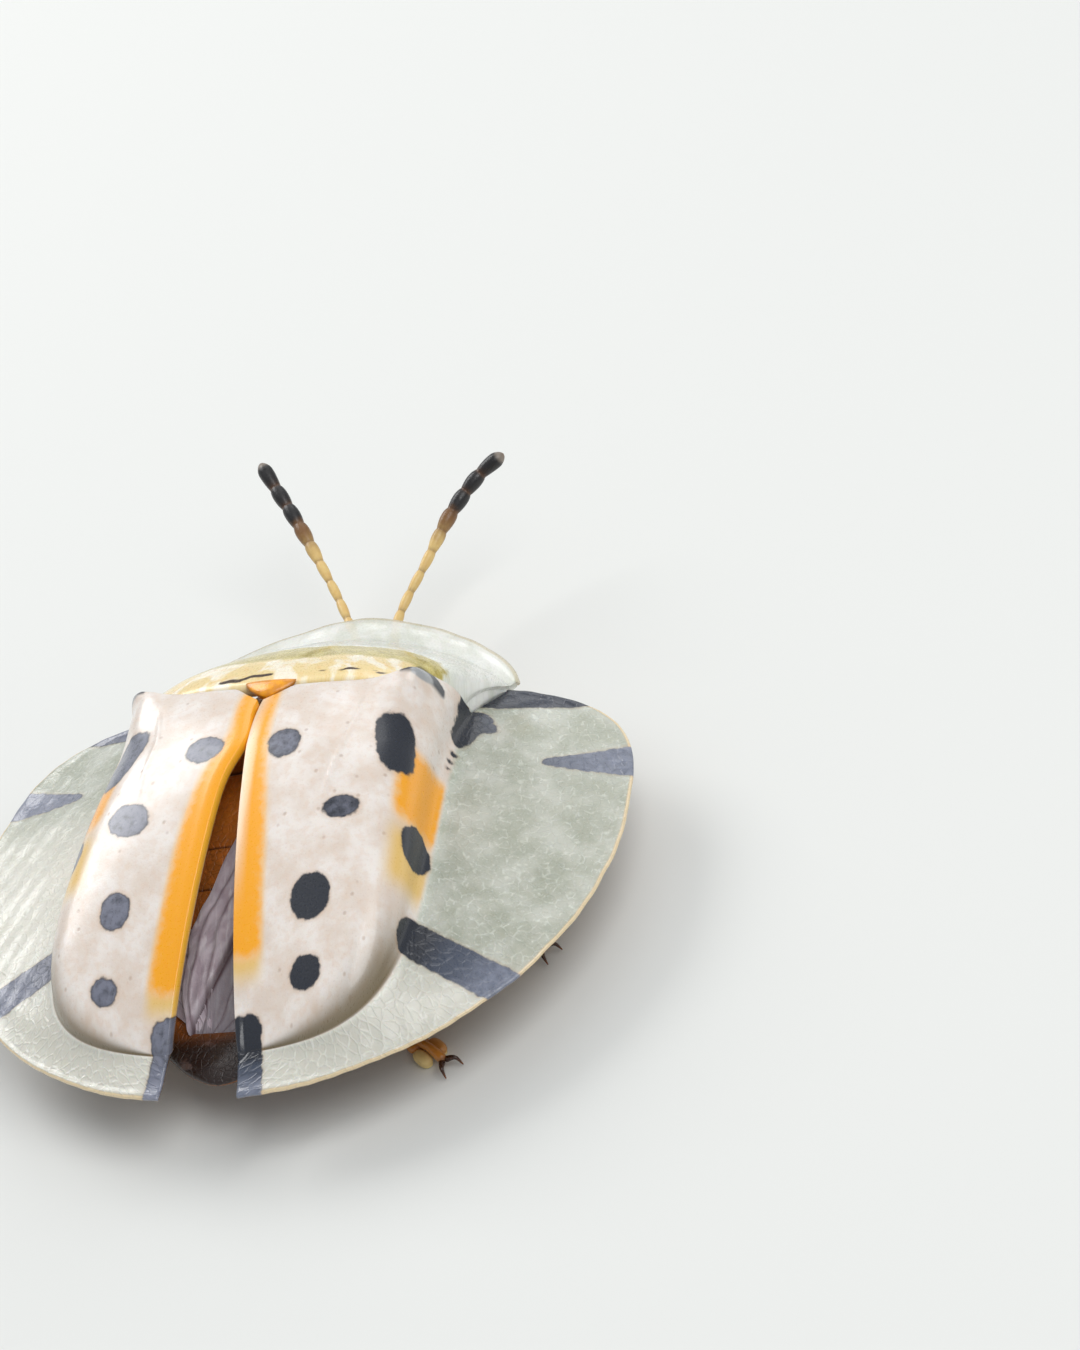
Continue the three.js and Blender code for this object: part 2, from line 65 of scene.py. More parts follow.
# The wing covers' form, as in the solids
RIM = {"half_width": 6.78, "rear": 6.54, "front": 3.63, "rear_power": 2.02, "front_power": 3.39,
       "height": 1.61, "raised": 0.46}
DISC = {"half_width": 3.25, "rear": 5.75, "rear_power": 4.0, "front_height": 2.44, "side_height": 2.55,
        "rear_height": 1.93}
SHOULDER = {"x": 3.51, "y": 2.33, "rim_x": 3.75}
CROWN = {"rise": 1.97, "y": 0.74, "power": 1.55, "round": 1.17, "fall": 0.1}
DOME = {"plan": 3.13, "round": 3.05}
BASE_Y = 1.76
BASE_SLOPE = 0.05
NOTCH = {"depth": 0.36, "half_width": 0.6}
SUTURE = {"right": {"x": -0.04, "bow": 0.02, "bulge": 0.02}, "left": {"x": 0.13, "bow": 0.06, "bulge": 0.22}}
HINGE_X = 0.3
FRONT_PART = 0.28  # share of a cover's rows that lies before its widest place
COVER_ROWS, DOME_COLUMNS, MARGIN_COLUMNS = 215, 92, 46
BASE_REACH = 0.0125  # share of a cover's length over which its front edge is rounded
SEAM_BEAD = {"out": 0.05, "width": 0.05, "height": 0.035}
SEAM_GROOVE = {"out": 0.16, "width": 0.06, "depth": 0.025}
SWELLING = {"x": 2.85, "y": 1.6, "half_width": 0.55, "half_length": 0.8, "height": 0.26}
CALLUS_HEIGHT = 0.24
RIM_LIP = {"out": 0.07, "width": 0.07, "height": 0.03}

# The back plate, the shield between the wing covers and the folded wings
PRONOTUM = {"half_width": 3.98, "widest_y": 3.93, "front_y": 6.16, "power": 1.48, "rear_y": BASE_Y + 0.18,
            "front_z": 2.24, "corner_z": 2.07, "crest_z": 4.33, "brim": 0.84, "gap": 0.04}
SCUTELLUM = {"y": BASE_Y - 0.07, "half_width": 0.6, "ahead": 0.24, "behind": 0.18, "z": 4.36}
PLATE_THICK, BRIM_THICK = 0.34, 0.12
# The olive band across the back plate is a painted reflection
OLIVE = {"outer_half_width": 3.2, "outer_length": 1.92, "inner_y": 2.84}  # the band across the back plate
WING = {"half_width": 2.4, "front": 0.3, "rear": 4.85, "drop": 0.88}
WING_THICK, VEIN_HEIGHT, UNDER_WING_DROP = 0.05, 0.03, 0.14

# The head
HEAD = {"y": 5.4, "z": 1.25, "half_width": 0.84, "half_length": 0.5, "half_height": 0.6}
EYE = {"x": 0.93, "y": 5.42, "z": 1.38, "radius": 0.34}

# Feelers and legs, on the right side or on each side where the two differ
FEELER_PATH = {
    "right": [(0.34, 6.12, 1.2), (0.38, 7.0, 1.45), (0.85, 8.28, 1.9), (1.39, 9.38, 2.4), (2.04, 10.07, 2.8),
              (2.49, 10.29, 3.0)],
    "left": [(-0.38, 6.12, 1.2), (-1.06, 7.57, 1.45), (-1.72, 8.61, 1.9), (-2.42, 9.62, 2.4),
             (-2.95, 10.3, 2.8), (-3.3, 10.76, 3.1)],
}
LEG_PATHS = {
    "front": {"coxa": (0.75, 3.35, 0.52), "knee": (2.25, 3.85, 0.98), "ankle": (2.7, 4.45, 0.5),
              "toe": (3.45, 5.0)},
    "middle": {"coxa": (1.05, 1.05, 0.52), "knee": (3.1, 0.35, 1.0), "ankle": (4.05, -1.1, 0.5),
               "toe": (5.38, -1.82)},
    "hind": {"coxa": (1.05, -1.0, 0.52), "knee": (2.75, -1.95, 0.98), "ankle": (2.7, -3.65, 0.5),
             "toe": (4.02, -4.66)},
}
LEFT_HIND = {"ankle": (2.45, -3.35, 0.5), "toe": (3.6, -4.2)}  # this foot is drawn in under the shell
FOOT = 0.2  # height of a foot's tip
EDGE = 7  # points round the edge of a thin sheet
SIDES = {"left": -1.0, "right": 1.0}

# Spots of each wing cover: millimetres out from the seam and along Y, half width, half length, turn in
# degrees and squareness
SPOTS = {
    "right": [
        (0.77, -0.05, 0.34, 0.37, 0, 2.2), (3.0, 0.08, 0.43, 0.72, 11, 3.0), (2.1, -1.63, 0.38, 0.26, 8, 2.0),
        (3.87, -1.97, 0.47, 0.44, 30, 2.4), (1.6, -3.39, 0.43, 0.45, 0, 2.2),
        (1.57, -4.76, 0.37, 0.31, 0, 2.2),
    ],
    "left": [
        (0.74, -0.07, 0.4, 0.33, 10, 2.2), (2.76, 0.0, 0.42, 0.72, 11, 3.0), (1.82, -1.62, 0.5, 0.36, 8, 2.2),
        (3.4, -2.1, 0.42, 0.42, 30, 2.4), (1.6, -3.46, 0.34, 0.37, 0, 2.2), (1.52, -4.92, 0.32, 0.25, 0, 2.2),
    ],
}
CALLUS = (3.42, 1.8, 0.4, 0.2, 4, 2.0)  # the grey bump on the shoulder, laid out as a spot
# Dark strokes over the clear margin: the X, Y and half width of both ends on a closed cover
STROKES = [
    ((3.2, -3.74, 0.39), (4.9, -4.55, 0.39)), ((5.15, 1.15, 0.14), (6.9, 1.24, 0.46)),
    ((3.42, 1.36, 0.12), (3.62, 2.2, 0.3)), ((3.6, 2.1, 0.28), (3.88, 2.02, 0.17)),
    ((3.72, 3.35, 0.68), (5.9, 2.98, 0.12)), ((0.05, -5.52, 0.38), (0.05, -6.7, 0.42)),
    ((3.39, 1.0, 0.06), (3.39, 1.0, 0.06)), ((3.36, 0.79, 0.05), (3.36, 0.79, 0.05)),
    ((3.34, 0.6, 0.045), (3.34, 0.6, 0.045)),
]

# The beetle's frame in the CAD frame: the scutellum's box says where it is
LOW, HIGH = (np.array(corner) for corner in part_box("scutellum"))
ORIGIN = np.array([(LOW[0] + HIGH[0]) / 2, (LOW[1] + HIGH[1]) / 2 - SCUTELLUM["y"] * MM, 0.0])


def place(points):
    """A point in the beetle's millimetres becomes ORIGIN + point * MM in metres."""
    return ORIGIN + np.asarray(points, float) * MM


def srgb(code, alpha=1.0):
    """Turns an sRGB hex value into linear colour: (c + 0.055) / 1.055 to the power 2.4, or c / 12.92 when
    dark."""
    parts = np.array([int(code[i:i + 2], 16) / 255 for i in (1, 3, 5)])
    linear = np.where(parts <= 0.04045, parts / 12.92, ((parts + 0.055) / 1.055) ** 2.4)
    return (*linear.tolist(), alpha)


# Sizes and colours that a user would change

class BeetleSizes(bpy.types.PropertyGroup):
    opening_right: FloatProperty(
        name="Right opening", description="How far the right wing cover is swung out",
        default=math.radians(5.2), subtype="ANGLE")
    opening_left: FloatProperty(
        name="Left opening", description="How far the left wing cover is swung out",
        default=math.radians(5.4), subtype="ANGLE")
    margin: FloatProperty(
        name="Margin thickness", description="Thickness of the clear margin of the shell",
        default=0.06 * MM, unit="LENGTH")
    shell: FloatProperty(
        name="Shell thickness", description="Thickness of the dome of the shell",
        default=0.26 * MM, unit="LENGTH")
    seam: FloatProperty(
        name="Seam thickness", description="Thickness of the shell along the seam of the back",
        default=0.22 * MM, unit="LENGTH")


def colour_property(name, description, code):
    return FloatVectorProperty(
        name=name, description=description, subtype="COLOR", size=4, min=0.0, max=1.0, default=srgb(code))


class BeetleColours(bpy.types.PropertyGroup):
    cream: colour_property("Cream", "Ground colour of the shell's dome", "#E2D2C4")
    orange: colour_property("Orange", "Bands along the seam and the dome's edge", "#FFAB04")
    slate: colour_property("Slate", "The shell's spots", "#1B1F2A")
    margin: colour_property("Margin", "Tint of the clear margin", "#B7BCAA")
    olive: colour_property("Olive", "Band across the back plate", "#A8953A")
    wing: colour_property("Wing", "Folded hind wings", "#CFC3CB")
    body: colour_property("Body", "Back of the body", "#C96F22")
    limb: colour_property("Limb", "Legs", "#B4691E")
    feeler: colour_property("Feeler", "Inner joints of the feelers", "#EBD08A")


# Meshes from arrays

def grid_faces(rows, columns, wrap):
    """Quads (r, c), (r + 1, c), (r + 1, c + 1), (r, c + 1) of a grid numbered row by row, joined round if
    wrap."""
    r, c = np.meshgrid(np.arange(rows - 1), np.arange(columns if wrap else columns - 1), indexing="ij")
    r, c = r.ravel(), c.ravel()
    ahead = (c + 1) % columns
    near, far = r * columns, (r + 1) * columns
    return np.stack([near + c, far + c, far + ahead, near + ahead], axis=1)


def zip_faces(start, columns):
    """Quads that close a flat ring of points: point i joins point columns - 1 - i across the ring."""
    i = np.arange(columns // 2 - 1)
    return np.stack([start + i, start + i + 1, start + columns - 2 - i, start + columns - 1 - i], axis=1)


def closed(rings, **values):
    """A patch of rings with a fan over each end, and named values that may be numbers or arrays."""
    return Patch(rings, values=values, wrap=True, caps="fan")


class Patch:
    """A grid of points in the beetle's millimetres, with its UV in millimetres and named values at each
    point."""

    def __init__(self, points, uv=None, values=None, wrap=False, caps=None):
        self.points = np.asarray(points, float)
        self.uv = np.zeros(self.points.shape[:2] + (2,)) if uv is None else np.asarray(uv, float)
        self.values = values or {}
        self.wrap = wrap
        self.caps = caps

    def arrays(self):
        """Points, UV and values as flat arrays, and faces; a fan cap adds one point at its ring's mean."""
        rows, columns = self.points.shape[:2]
        points = self.points.reshape(-1, 3)
        uv = self.uv.reshape(-1, 2)
        values = {key: np.broadcast_to(value, (rows, columns)).ravel() for key, value in self.values.items()}
        faces = grid_faces(rows, columns, self.wrap).tolist()
        last = (rows - 1) * columns
        if self.caps == "zip":
            faces += zip_faces(0, columns).tolist() + zip_faces(last, columns).tolist()
        if self.caps == "fan":
            ring = np.arange(columns)
            ahead = (ring + 1) % columns
            for start, row in ((0, 0), (last, rows - 1)):
                hub = np.full(columns, len(points))
                points = np.vstack([points, self.points[row].mean(axis=0)])
                uv = np.vstack([uv, self.uv[row].mean(axis=0)])
                values = {key: np.append(value, value[start]) for key, value in values.items()}
                faces += np.stack([start + ring, start + ahead, hub], axis=1).tolist()
        return points, uv, values, faces


def make_piece(name, patches, material, replaced=()):
    """Joins patches into one mesh object at the origin, merges doubles, turns faces outwards and files the
    piece."""
    points, uvs, faces, values = [], [], [], {}
    count = 0
    for patch in patches:
        part_points, part_uv, part_values, part_faces = patch.arrays()
        points.append(part_points)
        uvs.append(part_uv)
        for key in part_values:
            values.setdefault(key, [])
        for key, parts in values.items():
            missing = count - sum(len(part) for part in parts)
            parts.append(np.zeros(missing))
            parts.append(part_values.get(key, np.zeros(len(part_points))))
        faces += [[index + count for index in face] for face in part_faces]
        count += len(part_points)
    mesh = bpy.data.meshes.new(name)
    mesh.from_pydata(place(np.vstack(points)).tolist(), [], faces)
    uv_of_point = np.vstack(uvs)
    corner_point = np.empty(len(mesh.loops), dtype=np.int64)
    mesh.loops.foreach_get("vertex_index", corner_point)
    layer = mesh.uv_layers.new(name="surface_mm")
    layer.data.foreach_set("uv", uv_of_point[corner_point].ravel())
    for key, parts in values.items():
        attribute = mesh.attributes.new(key, "FLOAT", "POINT")
        attribute.data.foreach_set("value", np.concatenate(parts))
    form = bmesh.new()
    form.from_mesh(mesh)
    bmesh.ops.remove_doubles(form, verts=form.verts, dist=0.0005 * MM)
    bmesh.ops.dissolve_degenerate(form, edges=form.edges, dist=0.0002 * MM)
    bmesh.ops.recalc_face_normals(form, faces=form.faces)
    form.to_mesh(mesh)
    form.free()
    mesh.shade_smooth()
    piece = bpy.data.objects.new(name, mesh)
    bpy.context.scene.collection.objects.link(piece)
    mesh.materials.append(material)
    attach(piece, "root")
    if replaced:
        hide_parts(*replaced)
    return piece


def smooth_path(points, count):
    """A smooth path through points: each coordinate is a cubic in the distance along, found by Hermite
    pieces."""
    points = np.asarray(points, float)
    reach = np.concatenate([[0], np.cumsum(np.linalg.norm(np.diff(points, axis=0), axis=1))])
    slopes = np.gradient(points, reach, axis=0)
    s = np.linspace(0, reach[-1], count)
    i = np.clip(np.searchsorted(reach, s, side="right") - 1, 0, len(points) - 2)
    span = (reach[i + 1] - reach[i])[:, None]
    t = (s[:, None] - reach[i][:, None]) / span
    return ((2 * t ** 3 - 3 * t ** 2 + 1) * points[i] + (t ** 3 - 2 * t ** 2 + t) * span * slopes[i]
            + (3 * t ** 2 - 2 * t ** 3) * points[i + 1] + (t ** 3 - t ** 2) * span * slopes[i + 1])


def sweep(path, wide, high, sides=20, up=(0.0, 0.0, 1.0)):
    """Rings round a path: centre + wide * cos(a) * across + high * sin(a) * upwards, both square to the
    path."""
    path = np.asarray(path, float)
    ahead = np.gradient(path, axis=0)
    ahead /= np.linalg.norm(ahead, axis=1, keepdims=True)
    across = np.cross(ahead, np.asarray(up, float))
    across /= np.linalg.norm(across, axis=1, keepdims=True)
    upwards = np.cross(across, ahead)
    angle = np.linspace(0, 2 * np.pi, sides, endpoint=False)[None, :, None]
    wide = np.broadcast_to(wide, len(path))[:, None, None]
    high = np.broadcast_to(high, len(path))[:, None, None]
    return path[:, None] + wide * np.cos(angle) * across[:, None] + high * np.sin(angle) * upwards[:, None]


def rounded_ends(t, sharp=0.12):
    """A swelling that is 1 in the middle and falls to 0 at t = 0 and t = 1 as a quarter circle of width
    sharp."""
    inner = np.clip(np.minimum(t, 1 - t) / sharp, 0, 1)
    return np.sqrt(np.clip(1 - (1 - inner) ** 2, 1e-4, 1))


def bell(x, centre, width):
    """1 at the centre, falling to both sides by exp(-((x - centre) / width)^2)."""
    return np.exp(-((x - centre) / width) ** 2)


def turned(points, angle):
    """Points turned about the Z axis: (x cos a - y sin a, x sin a + y cos a, z)."""
    c, s = math.cos(angle), math.sin(angle)
    x, y, z = np.moveaxis(points, -1, 0)
    return np.stack([x * c - y * s, x * s + y * c, z], axis=-1)


def lump(centre, sizes, turn=0.0, rows=14, columns=18, power=2.0):
    """A squarish ball: centre + size * (sin p cos q, sin p sin q, cos p), each pair shaped by the oval's
    power."""
    p = np.linspace(0.0, np.pi, rows)[:, None]
    q = np.linspace(0, 2 * np.pi, columns, endpoint=False)[None]
    vertical, level = oval(p, power)
    east, north = oval(q, power)
    shape = np.stack([level * east, level * north, vertical + 0 * q], axis=-1) * np.asarray(sizes, float)
    return turned(shape, turn) + np.asarray(centre, float)


def oval(angle, power):
    """A squarish oval in its own angle: (cos, sin) over (|cos|^n + |sin|^n)^(1/n)."""
    c, s = np.cos(angle), np.sin(angle)
    reach = (np.abs(c) ** power + np.abs(s) ** power) ** (-1 / power)
    return c * reach, s * reach


def lerp(a, b, t):
    return a + (b - a) * t


def smoothstep(low, high, x):
    """0 below low, 1 above high, and 3t^2 - 2t^3 between."""
    t = np.clip((x - low) / (high - low), 0, 1)
    return t * t * (3 - 2 * t)


# Node trees

def add(tree, kind, inputs=None, out=0, **settings):
    """Adds one shader node with its settings, and its inputs as numbers, colours or sockets to link; gives
    one of its outputs."""
    made = tree.nodes.new("ShaderNode" + kind)
    for key, value in settings.items():
        setattr(made, key, value)
    for key, value in (inputs or {}).items():
        if isinstance(value, bpy.types.NodeSocket):
            tree.links.new(value, made.inputs[key])
        else:
            made.inputs[key].default_value = value
    return made.outputs[out] if made.outputs else made


def new_material(name):
    """An empty node material, and the function that adds a node to it."""
    material = bpy.data.materials.new(name)
    material.use_nodes = True
    material.node_tree.nodes.clear()
    return material, partial(add, material.node_tree)


EASE = {"interpolation_type": "SMOOTHSTEP"}  # settings of a Map Range node: inputs 1 and 2 become 0 and 1
TINT = {"data_type": "RGBA", "out": 2}  # settings of a colour Mix node: input 0 goes from input 6 to input 7


# The wing covers

def midline_rise(y):
    """Dome height over its edge: rise * (1 - far^power)^(1/round) behind the crown, a fall before it."""
    far = np.clip((CROWN["y"] - y) / (CROWN["y"] + DISC["rear"]), 0, 1)
    behind = CROWN["rise"] * (1 - far ** CROWN["power"]) ** (1 / CROWN["round"])
    before = CROWN["rise"] - CROWN["fall"] * ((y - CROWN["y"]) / (BASE_Y - CROWN["y"])) ** 2
    return np.where(y > CROWN["y"], before, behind)


def edge_level(y):
    """Level of the dome's edge beside a place on the midline: highest at the sides, falling by
    (y/rear)^1.54."""
    before = lerp(DISC["side_height"], DISC["front_height"], y / BASE_Y)
    behind = lerp(DISC["side_height"], DISC["rear_height"], np.clip(-y / DISC["rear"], 0, 1) ** (2 / 1.3))
    return np.where(y > 0, before, behind)


def front_edge_y(x):
    """Front edge of a closed wing cover: base - notch - slope * x + sweep * (x / shoulder)^6, then a line to
    the rim's start."""
    power = RIM["front_power"]
    rim_y = RIM["front"] * (1 - (SHOULDER["rim_x"] / RIM["half_width"]) ** power) ** (1 / power)
    outer = lerp(SHOULDER["y"], rim_y, (x - SHOULDER["x"]) / (SHOULDER["rim_x"] - SHOULDER["x"]))
    notch = NOTCH["depth"] * np.maximum(0, 1 - x / NOTCH["half_width"])
    sweep = SHOULDER["y"] - BASE_Y + BASE_SLOPE * SHOULDER["x"]
    near = np.minimum(x, SHOULDER["x"])
    inner = BASE_Y - notch - BASE_SLOPE * near + sweep * (near / SHOULDER["x"]) ** 6
    return np.where(x > SHOULDER["x"], outer, inner)


def wing_cover_points(along, across, inset, seam):
    """A wing cover as if on the right, closed. Along runs 0 to 1 from base to tip, across 0 to 1 over the
    dome and 1 to 2 over the margin. A dome row is a straight line in plan from the seam to the disc's
    squarish oval, lifted by cos(out)^(2/round) of the midline's height; a margin row is a line from that
    oval to the rim's. The seam bulges by bow * sin(pi * reach), and by a bell of height bulge a fifth of
    the way back."""
    along, across, inset = np.broadcast_arrays(along, across, inset)
    out = np.minimum(across, 1) * (np.pi / 2)
    side = np.sin(out) ** (2 / DOME["plan"])
    lift = np.abs(np.cos(out)) ** (2 / DOME["round"])
    disc_x = DISC["half_width"] - inset
    disc_rear = DISC["rear"] - inset
    k = np.clip(1 - along / FRONT_PART, 0, 1)
    corner = math.acos((SHOULDER["rim_x"] / RIM["half_width"]) ** (RIM["front_power"] / 2))
    front_edge = (lerp(disc_x, SHOULDER["x"] - inset, k * k), SHOULDER["y"] * k)
    front_rim = (RIM["half_width"] * np.cos(k * corner) ** (2 / RIM["front_power"]),
                 RIM["front"] * np.sin(k * corner) ** (2 / RIM["front_power"]))
    front_start = k * front_edge_y(np.float64(0))
    front_y = k * front_edge_y((front_edge[0] + inset) * side)
    angle = np.clip((along - FRONT_PART) / (1 - FRONT_PART), 0, 1) * (np.pi / 2)
    disc_oval, rim_oval = oval(angle, DISC["rear_power"]), oval(angle, RIM["rear_power"])
    rear_edge = (disc_x * disc_oval[0], -disc_rear * disc_oval[1])
    rear_rim = (RIM["half_width"] * rim_oval[0], -RIM["rear"] * rim_oval[1])
    rear_start = -disc_rear * np.sin(angle) ** 1.3
    rear_y = lerp(rear_start, rear_edge[1], side * side)
    front = along < FRONT_PART
    edge_x, edge_y = (np.where(front, *pair) for pair in zip(front_edge, rear_edge))
    rim_x, rim_y = (np.where(front, *pair) for pair in zip(front_rim, rear_rim))
    start, y_dome = np.where(front, front_start, rear_start), np.where(front, front_y, rear_y)
    level = np.where(front, lerp(DISC["side_height"], DISC["front_height"], k),
                     lerp(DISC["side_height"], DISC["rear_height"], np.sin(angle) ** 2))
    m = np.clip(across - 1, 0, 1)
    edge_z = level - inset
    rim_z = RIM["height"] + RIM["raised"] * k * k - inset
    x = np.where(across <= 1, edge_x * side, lerp(edge_x, rim_x, m))
    y = np.where(across <= 1, y_dome, lerp(edge_y, rim_y, m))
    z_dome = edge_z + midline_rise(start) * lift
    z_margin = rim_z + (edge_z - rim_z) * (1 - m) ** 1.15
    z = np.where(across <= 1, z_dome, z_margin)
    reach = np.clip((BASE_Y - start) / (BASE_Y + disc_rear), 0, 1)
    bow = seam["bow"] * np.sin(np.pi * reach) + seam["bulge"] * bell(reach, 0.2, 0.09)
    bow = bow * (1 - side) * (across <= 1)
    return np.stack([seam["x"] + x * (1 - seam["x"] / RIM["half_width"]) - bow, y, z], axis=-1)


def spot_field(arc, y, spots):
    """Millimetres to the nearest spot's edge, below 0 inside: (|(p - centre) turned / half sizes| to the
    spot's own power, less 1) times its smaller half size."""
    nearest = np.full(np.shape(arc), 9.0)
    for out, along, wide, long, turn, power in spots:
        c, s = math.cos(math.radians(turn)), math.sin(math.radians(turn))
        a = ((arc - out) * c + (y - along) * s) / wide
        b = ((y - along) * c - (arc - out) * s) / long
        reach = (np.abs(a) ** power + np.abs(b) ** power) ** (1 / power)
        nearest = np.minimum(nearest, (reach - 1) * min(wide, long))
    return nearest


def stroke_field(x, y, strokes):
    """Millimetres to the nearest stroke's edge, below 0 inside: the distance to its line less the half
    width."""
    nearest = np.full(np.shape(x), 9.0)
    for (x0, y0, start), (x1, y1, end) in strokes:
        dx, dy = x1 - x0, y1 - y0
        t = np.clip(((x - x0) * dx + (y - y0) * dy) / max(dx * dx + dy * dy, 1e-9), 0, 1)
        nearest = np.minimum(nearest, np.hypot(x - x0 - t * dx, y - y0 - t * dy) - lerp(start, end, t))
    return nearest


def soften(points, weight, times=22):
    """Blurs each row by (1, 2, 1) / 4 a number of times, by weight, so that sharp folds become rounds."""
    for _ in range(times):
        blurred = points.copy()
        blurred[:, 1:-1] = (points[:, :-2] + 2 * points[:, 1:-1] + points[:, 2:]) / 4
        points = lerp(points, blurred, weight)
    return points


def ringed(grid, steps=EDGE):
    """A grid of values carried round a sheet: over the top, along the far edge, back under, along the near
    edge."""
    far, near = np.repeat(grid[:, -1:], steps, axis=1), np.repeat(grid[:, :1], steps, axis=1)
    return np.concatenate([grid, far, grid[:, ::-1], near], axis=1)


def sheet_rings(top, under, bulge=(1.0, 1.0), steps=EDGE):
    """Rings of a thin closed sheet: over the top, round the far edge, back under and round the near edge. An
    edge is half an ellipse that leaves the sheet by bulge times half its thickness there."""
    turn = np.linspace(0, np.pi, steps + 2)[1:-1][None, :, None]

    def edge(upper, lower, outward, share):
        outward = outward / np.maximum(np.linalg.norm(outward, axis=1, keepdims=True), 1e-9)
        middle, half = (upper + lower) / 2, (upper - lower) / 2
        reach = np.linalg.norm(half, axis=1)[:, None, None] * share * outward[:, None]
        return middle[:, None] + half[:, None] * np.cos(turn) + reach * np.sin(turn)

    far = edge(top[:, -1], under[:, -1], top[:, -1] - top[:, -4], bulge[1])
    near = edge(under[:, 0], top[:, 0], top[:, 0] - top[:, 3], bulge[0])
    return np.concatenate([top, far, under[:, ::-1], near], axis=1)


def pinch(distance, radius):
    """Share of the thickness left at a distance from an edge rounded to a radius: a quarter circle."""
    near = np.clip(1 - distance / radius, 0, 1)
    return np.sqrt(np.clip(1 - near ** 2, 0, 1))


def swing(points, side, opening):
    """Turns the right cover about its hinge by the opening, then mirrors it for the left side."""
    hinge = np.array([HINGE_X, BASE_Y, 0])
    return (turned(points - hinge, opening) + hinge) * np.array([side, 1, 1])


def unrolled(top, arc, edge):
    """Plan places of a cover's points with its steep side laid flat: inside the dome's edge a point keeps its
    distance along the surface from that edge, in its own plan direction."""
    plan = top[..., :2]
    ahead = plan - plan[:, edge:edge + 1]
    reach = np.maximum(np.linalg.norm(ahead, axis=2, keepdims=True), 1e-6)
    inside = np.maximum(arc[:, edge:edge + 1] - arc, 0)[..., None]
    flat = plan[:, edge:edge + 1] + ahead / reach * inside
    return np.where(inside > 0, flat, plan)


def shell_marks(arc, flat, y, across, word):
    """The cover's markings and painted light as values at each point. Slate is the millimetres to a dark
    patch's edge. Orange and yellow are the strength of the bands by the seam and at the dome's edge, and
    brown is painted shade at the dome's rear edge, partly a brown marking. A painted grey sheen lies on the
    spots, the margin's whitish clouding is partly painted sheen, through is the light that comes through a
    dark patch, and creamy the pale bead of the right cover."""
    slate = np.minimum(spot_field(arc, y, SPOTS[word]), stroke_field(flat[..., 0], flat[..., 1], STROKES))
    wide = lerp(0.32, 0.5, smoothstep(0.6, -2.3, y))
    seam = smoothstep(wide + 0.2, wide - 0.12, arc) * (across < 1)
    band_end = {"left": -4.9, "right": -4.35}[word]
    patch_start = {"left": 2.4, "right": 2.9}[word]
    edge = smoothstep(patch_start, patch_start + 0.5, arc) * smoothstep(1.05, 0.98, across)
    orange_patch = edge * smoothstep(-1.9, -1.2, y) * smoothstep(0.4, -0.2, y)
    yellow_patch = edge * smoothstep(-3.3, -2.7, y) * smoothstep(-1.5, -2.1, y)
    # Painted grey sheen over two spots of the right cover; the left cover's spots all get it
    front_sheen = bell(arc, 0.77, 0.6) * bell(y, -0.05, 0.6)
    middle_sheen = bell(arc, 2.1, 0.6) * bell(y, -1.63, 0.5)
    right = word == "right"
    return {
        "slate": slate,
        "orange": np.maximum(seam * smoothstep(band_end - 0.15, band_end + 0.3, y), orange_patch),
        "yellow": np.maximum(seam * smoothstep(band_end - 0.55, band_end, y), yellow_patch),
        # brown: painted shade at the dome's rear edge, partly a brown marking
        "brown": smoothstep(0.5, 0.98, across) * smoothstep(-3.0, -4.8, y) * smoothstep(1.02, 0.99, across),
        "callus": spot_field(arc, y, [CALLUS]),
        # painted grey sheen on the spots
        "spot_sheen": 0.75 * front_sheen + 0.5 * middle_sheen if right else 0.8 + 0 * arc,
        # whitening of the margin: partly its own clouding, partly painted sheen
        "clouding_and_sheen": smoothstep(-3.2, -5.2, y) if right else smoothstep(2.0, -1.8, y),
        "through": smoothstep(1.1, 1.4, across) * (1 - 0.85 * smoothstep(2.3, 2.8, flat[..., 1])),
        "creamy": smoothstep(0.24, 0.12, arc) * smoothstep(-3.6, -2.0, y) * right,
    }


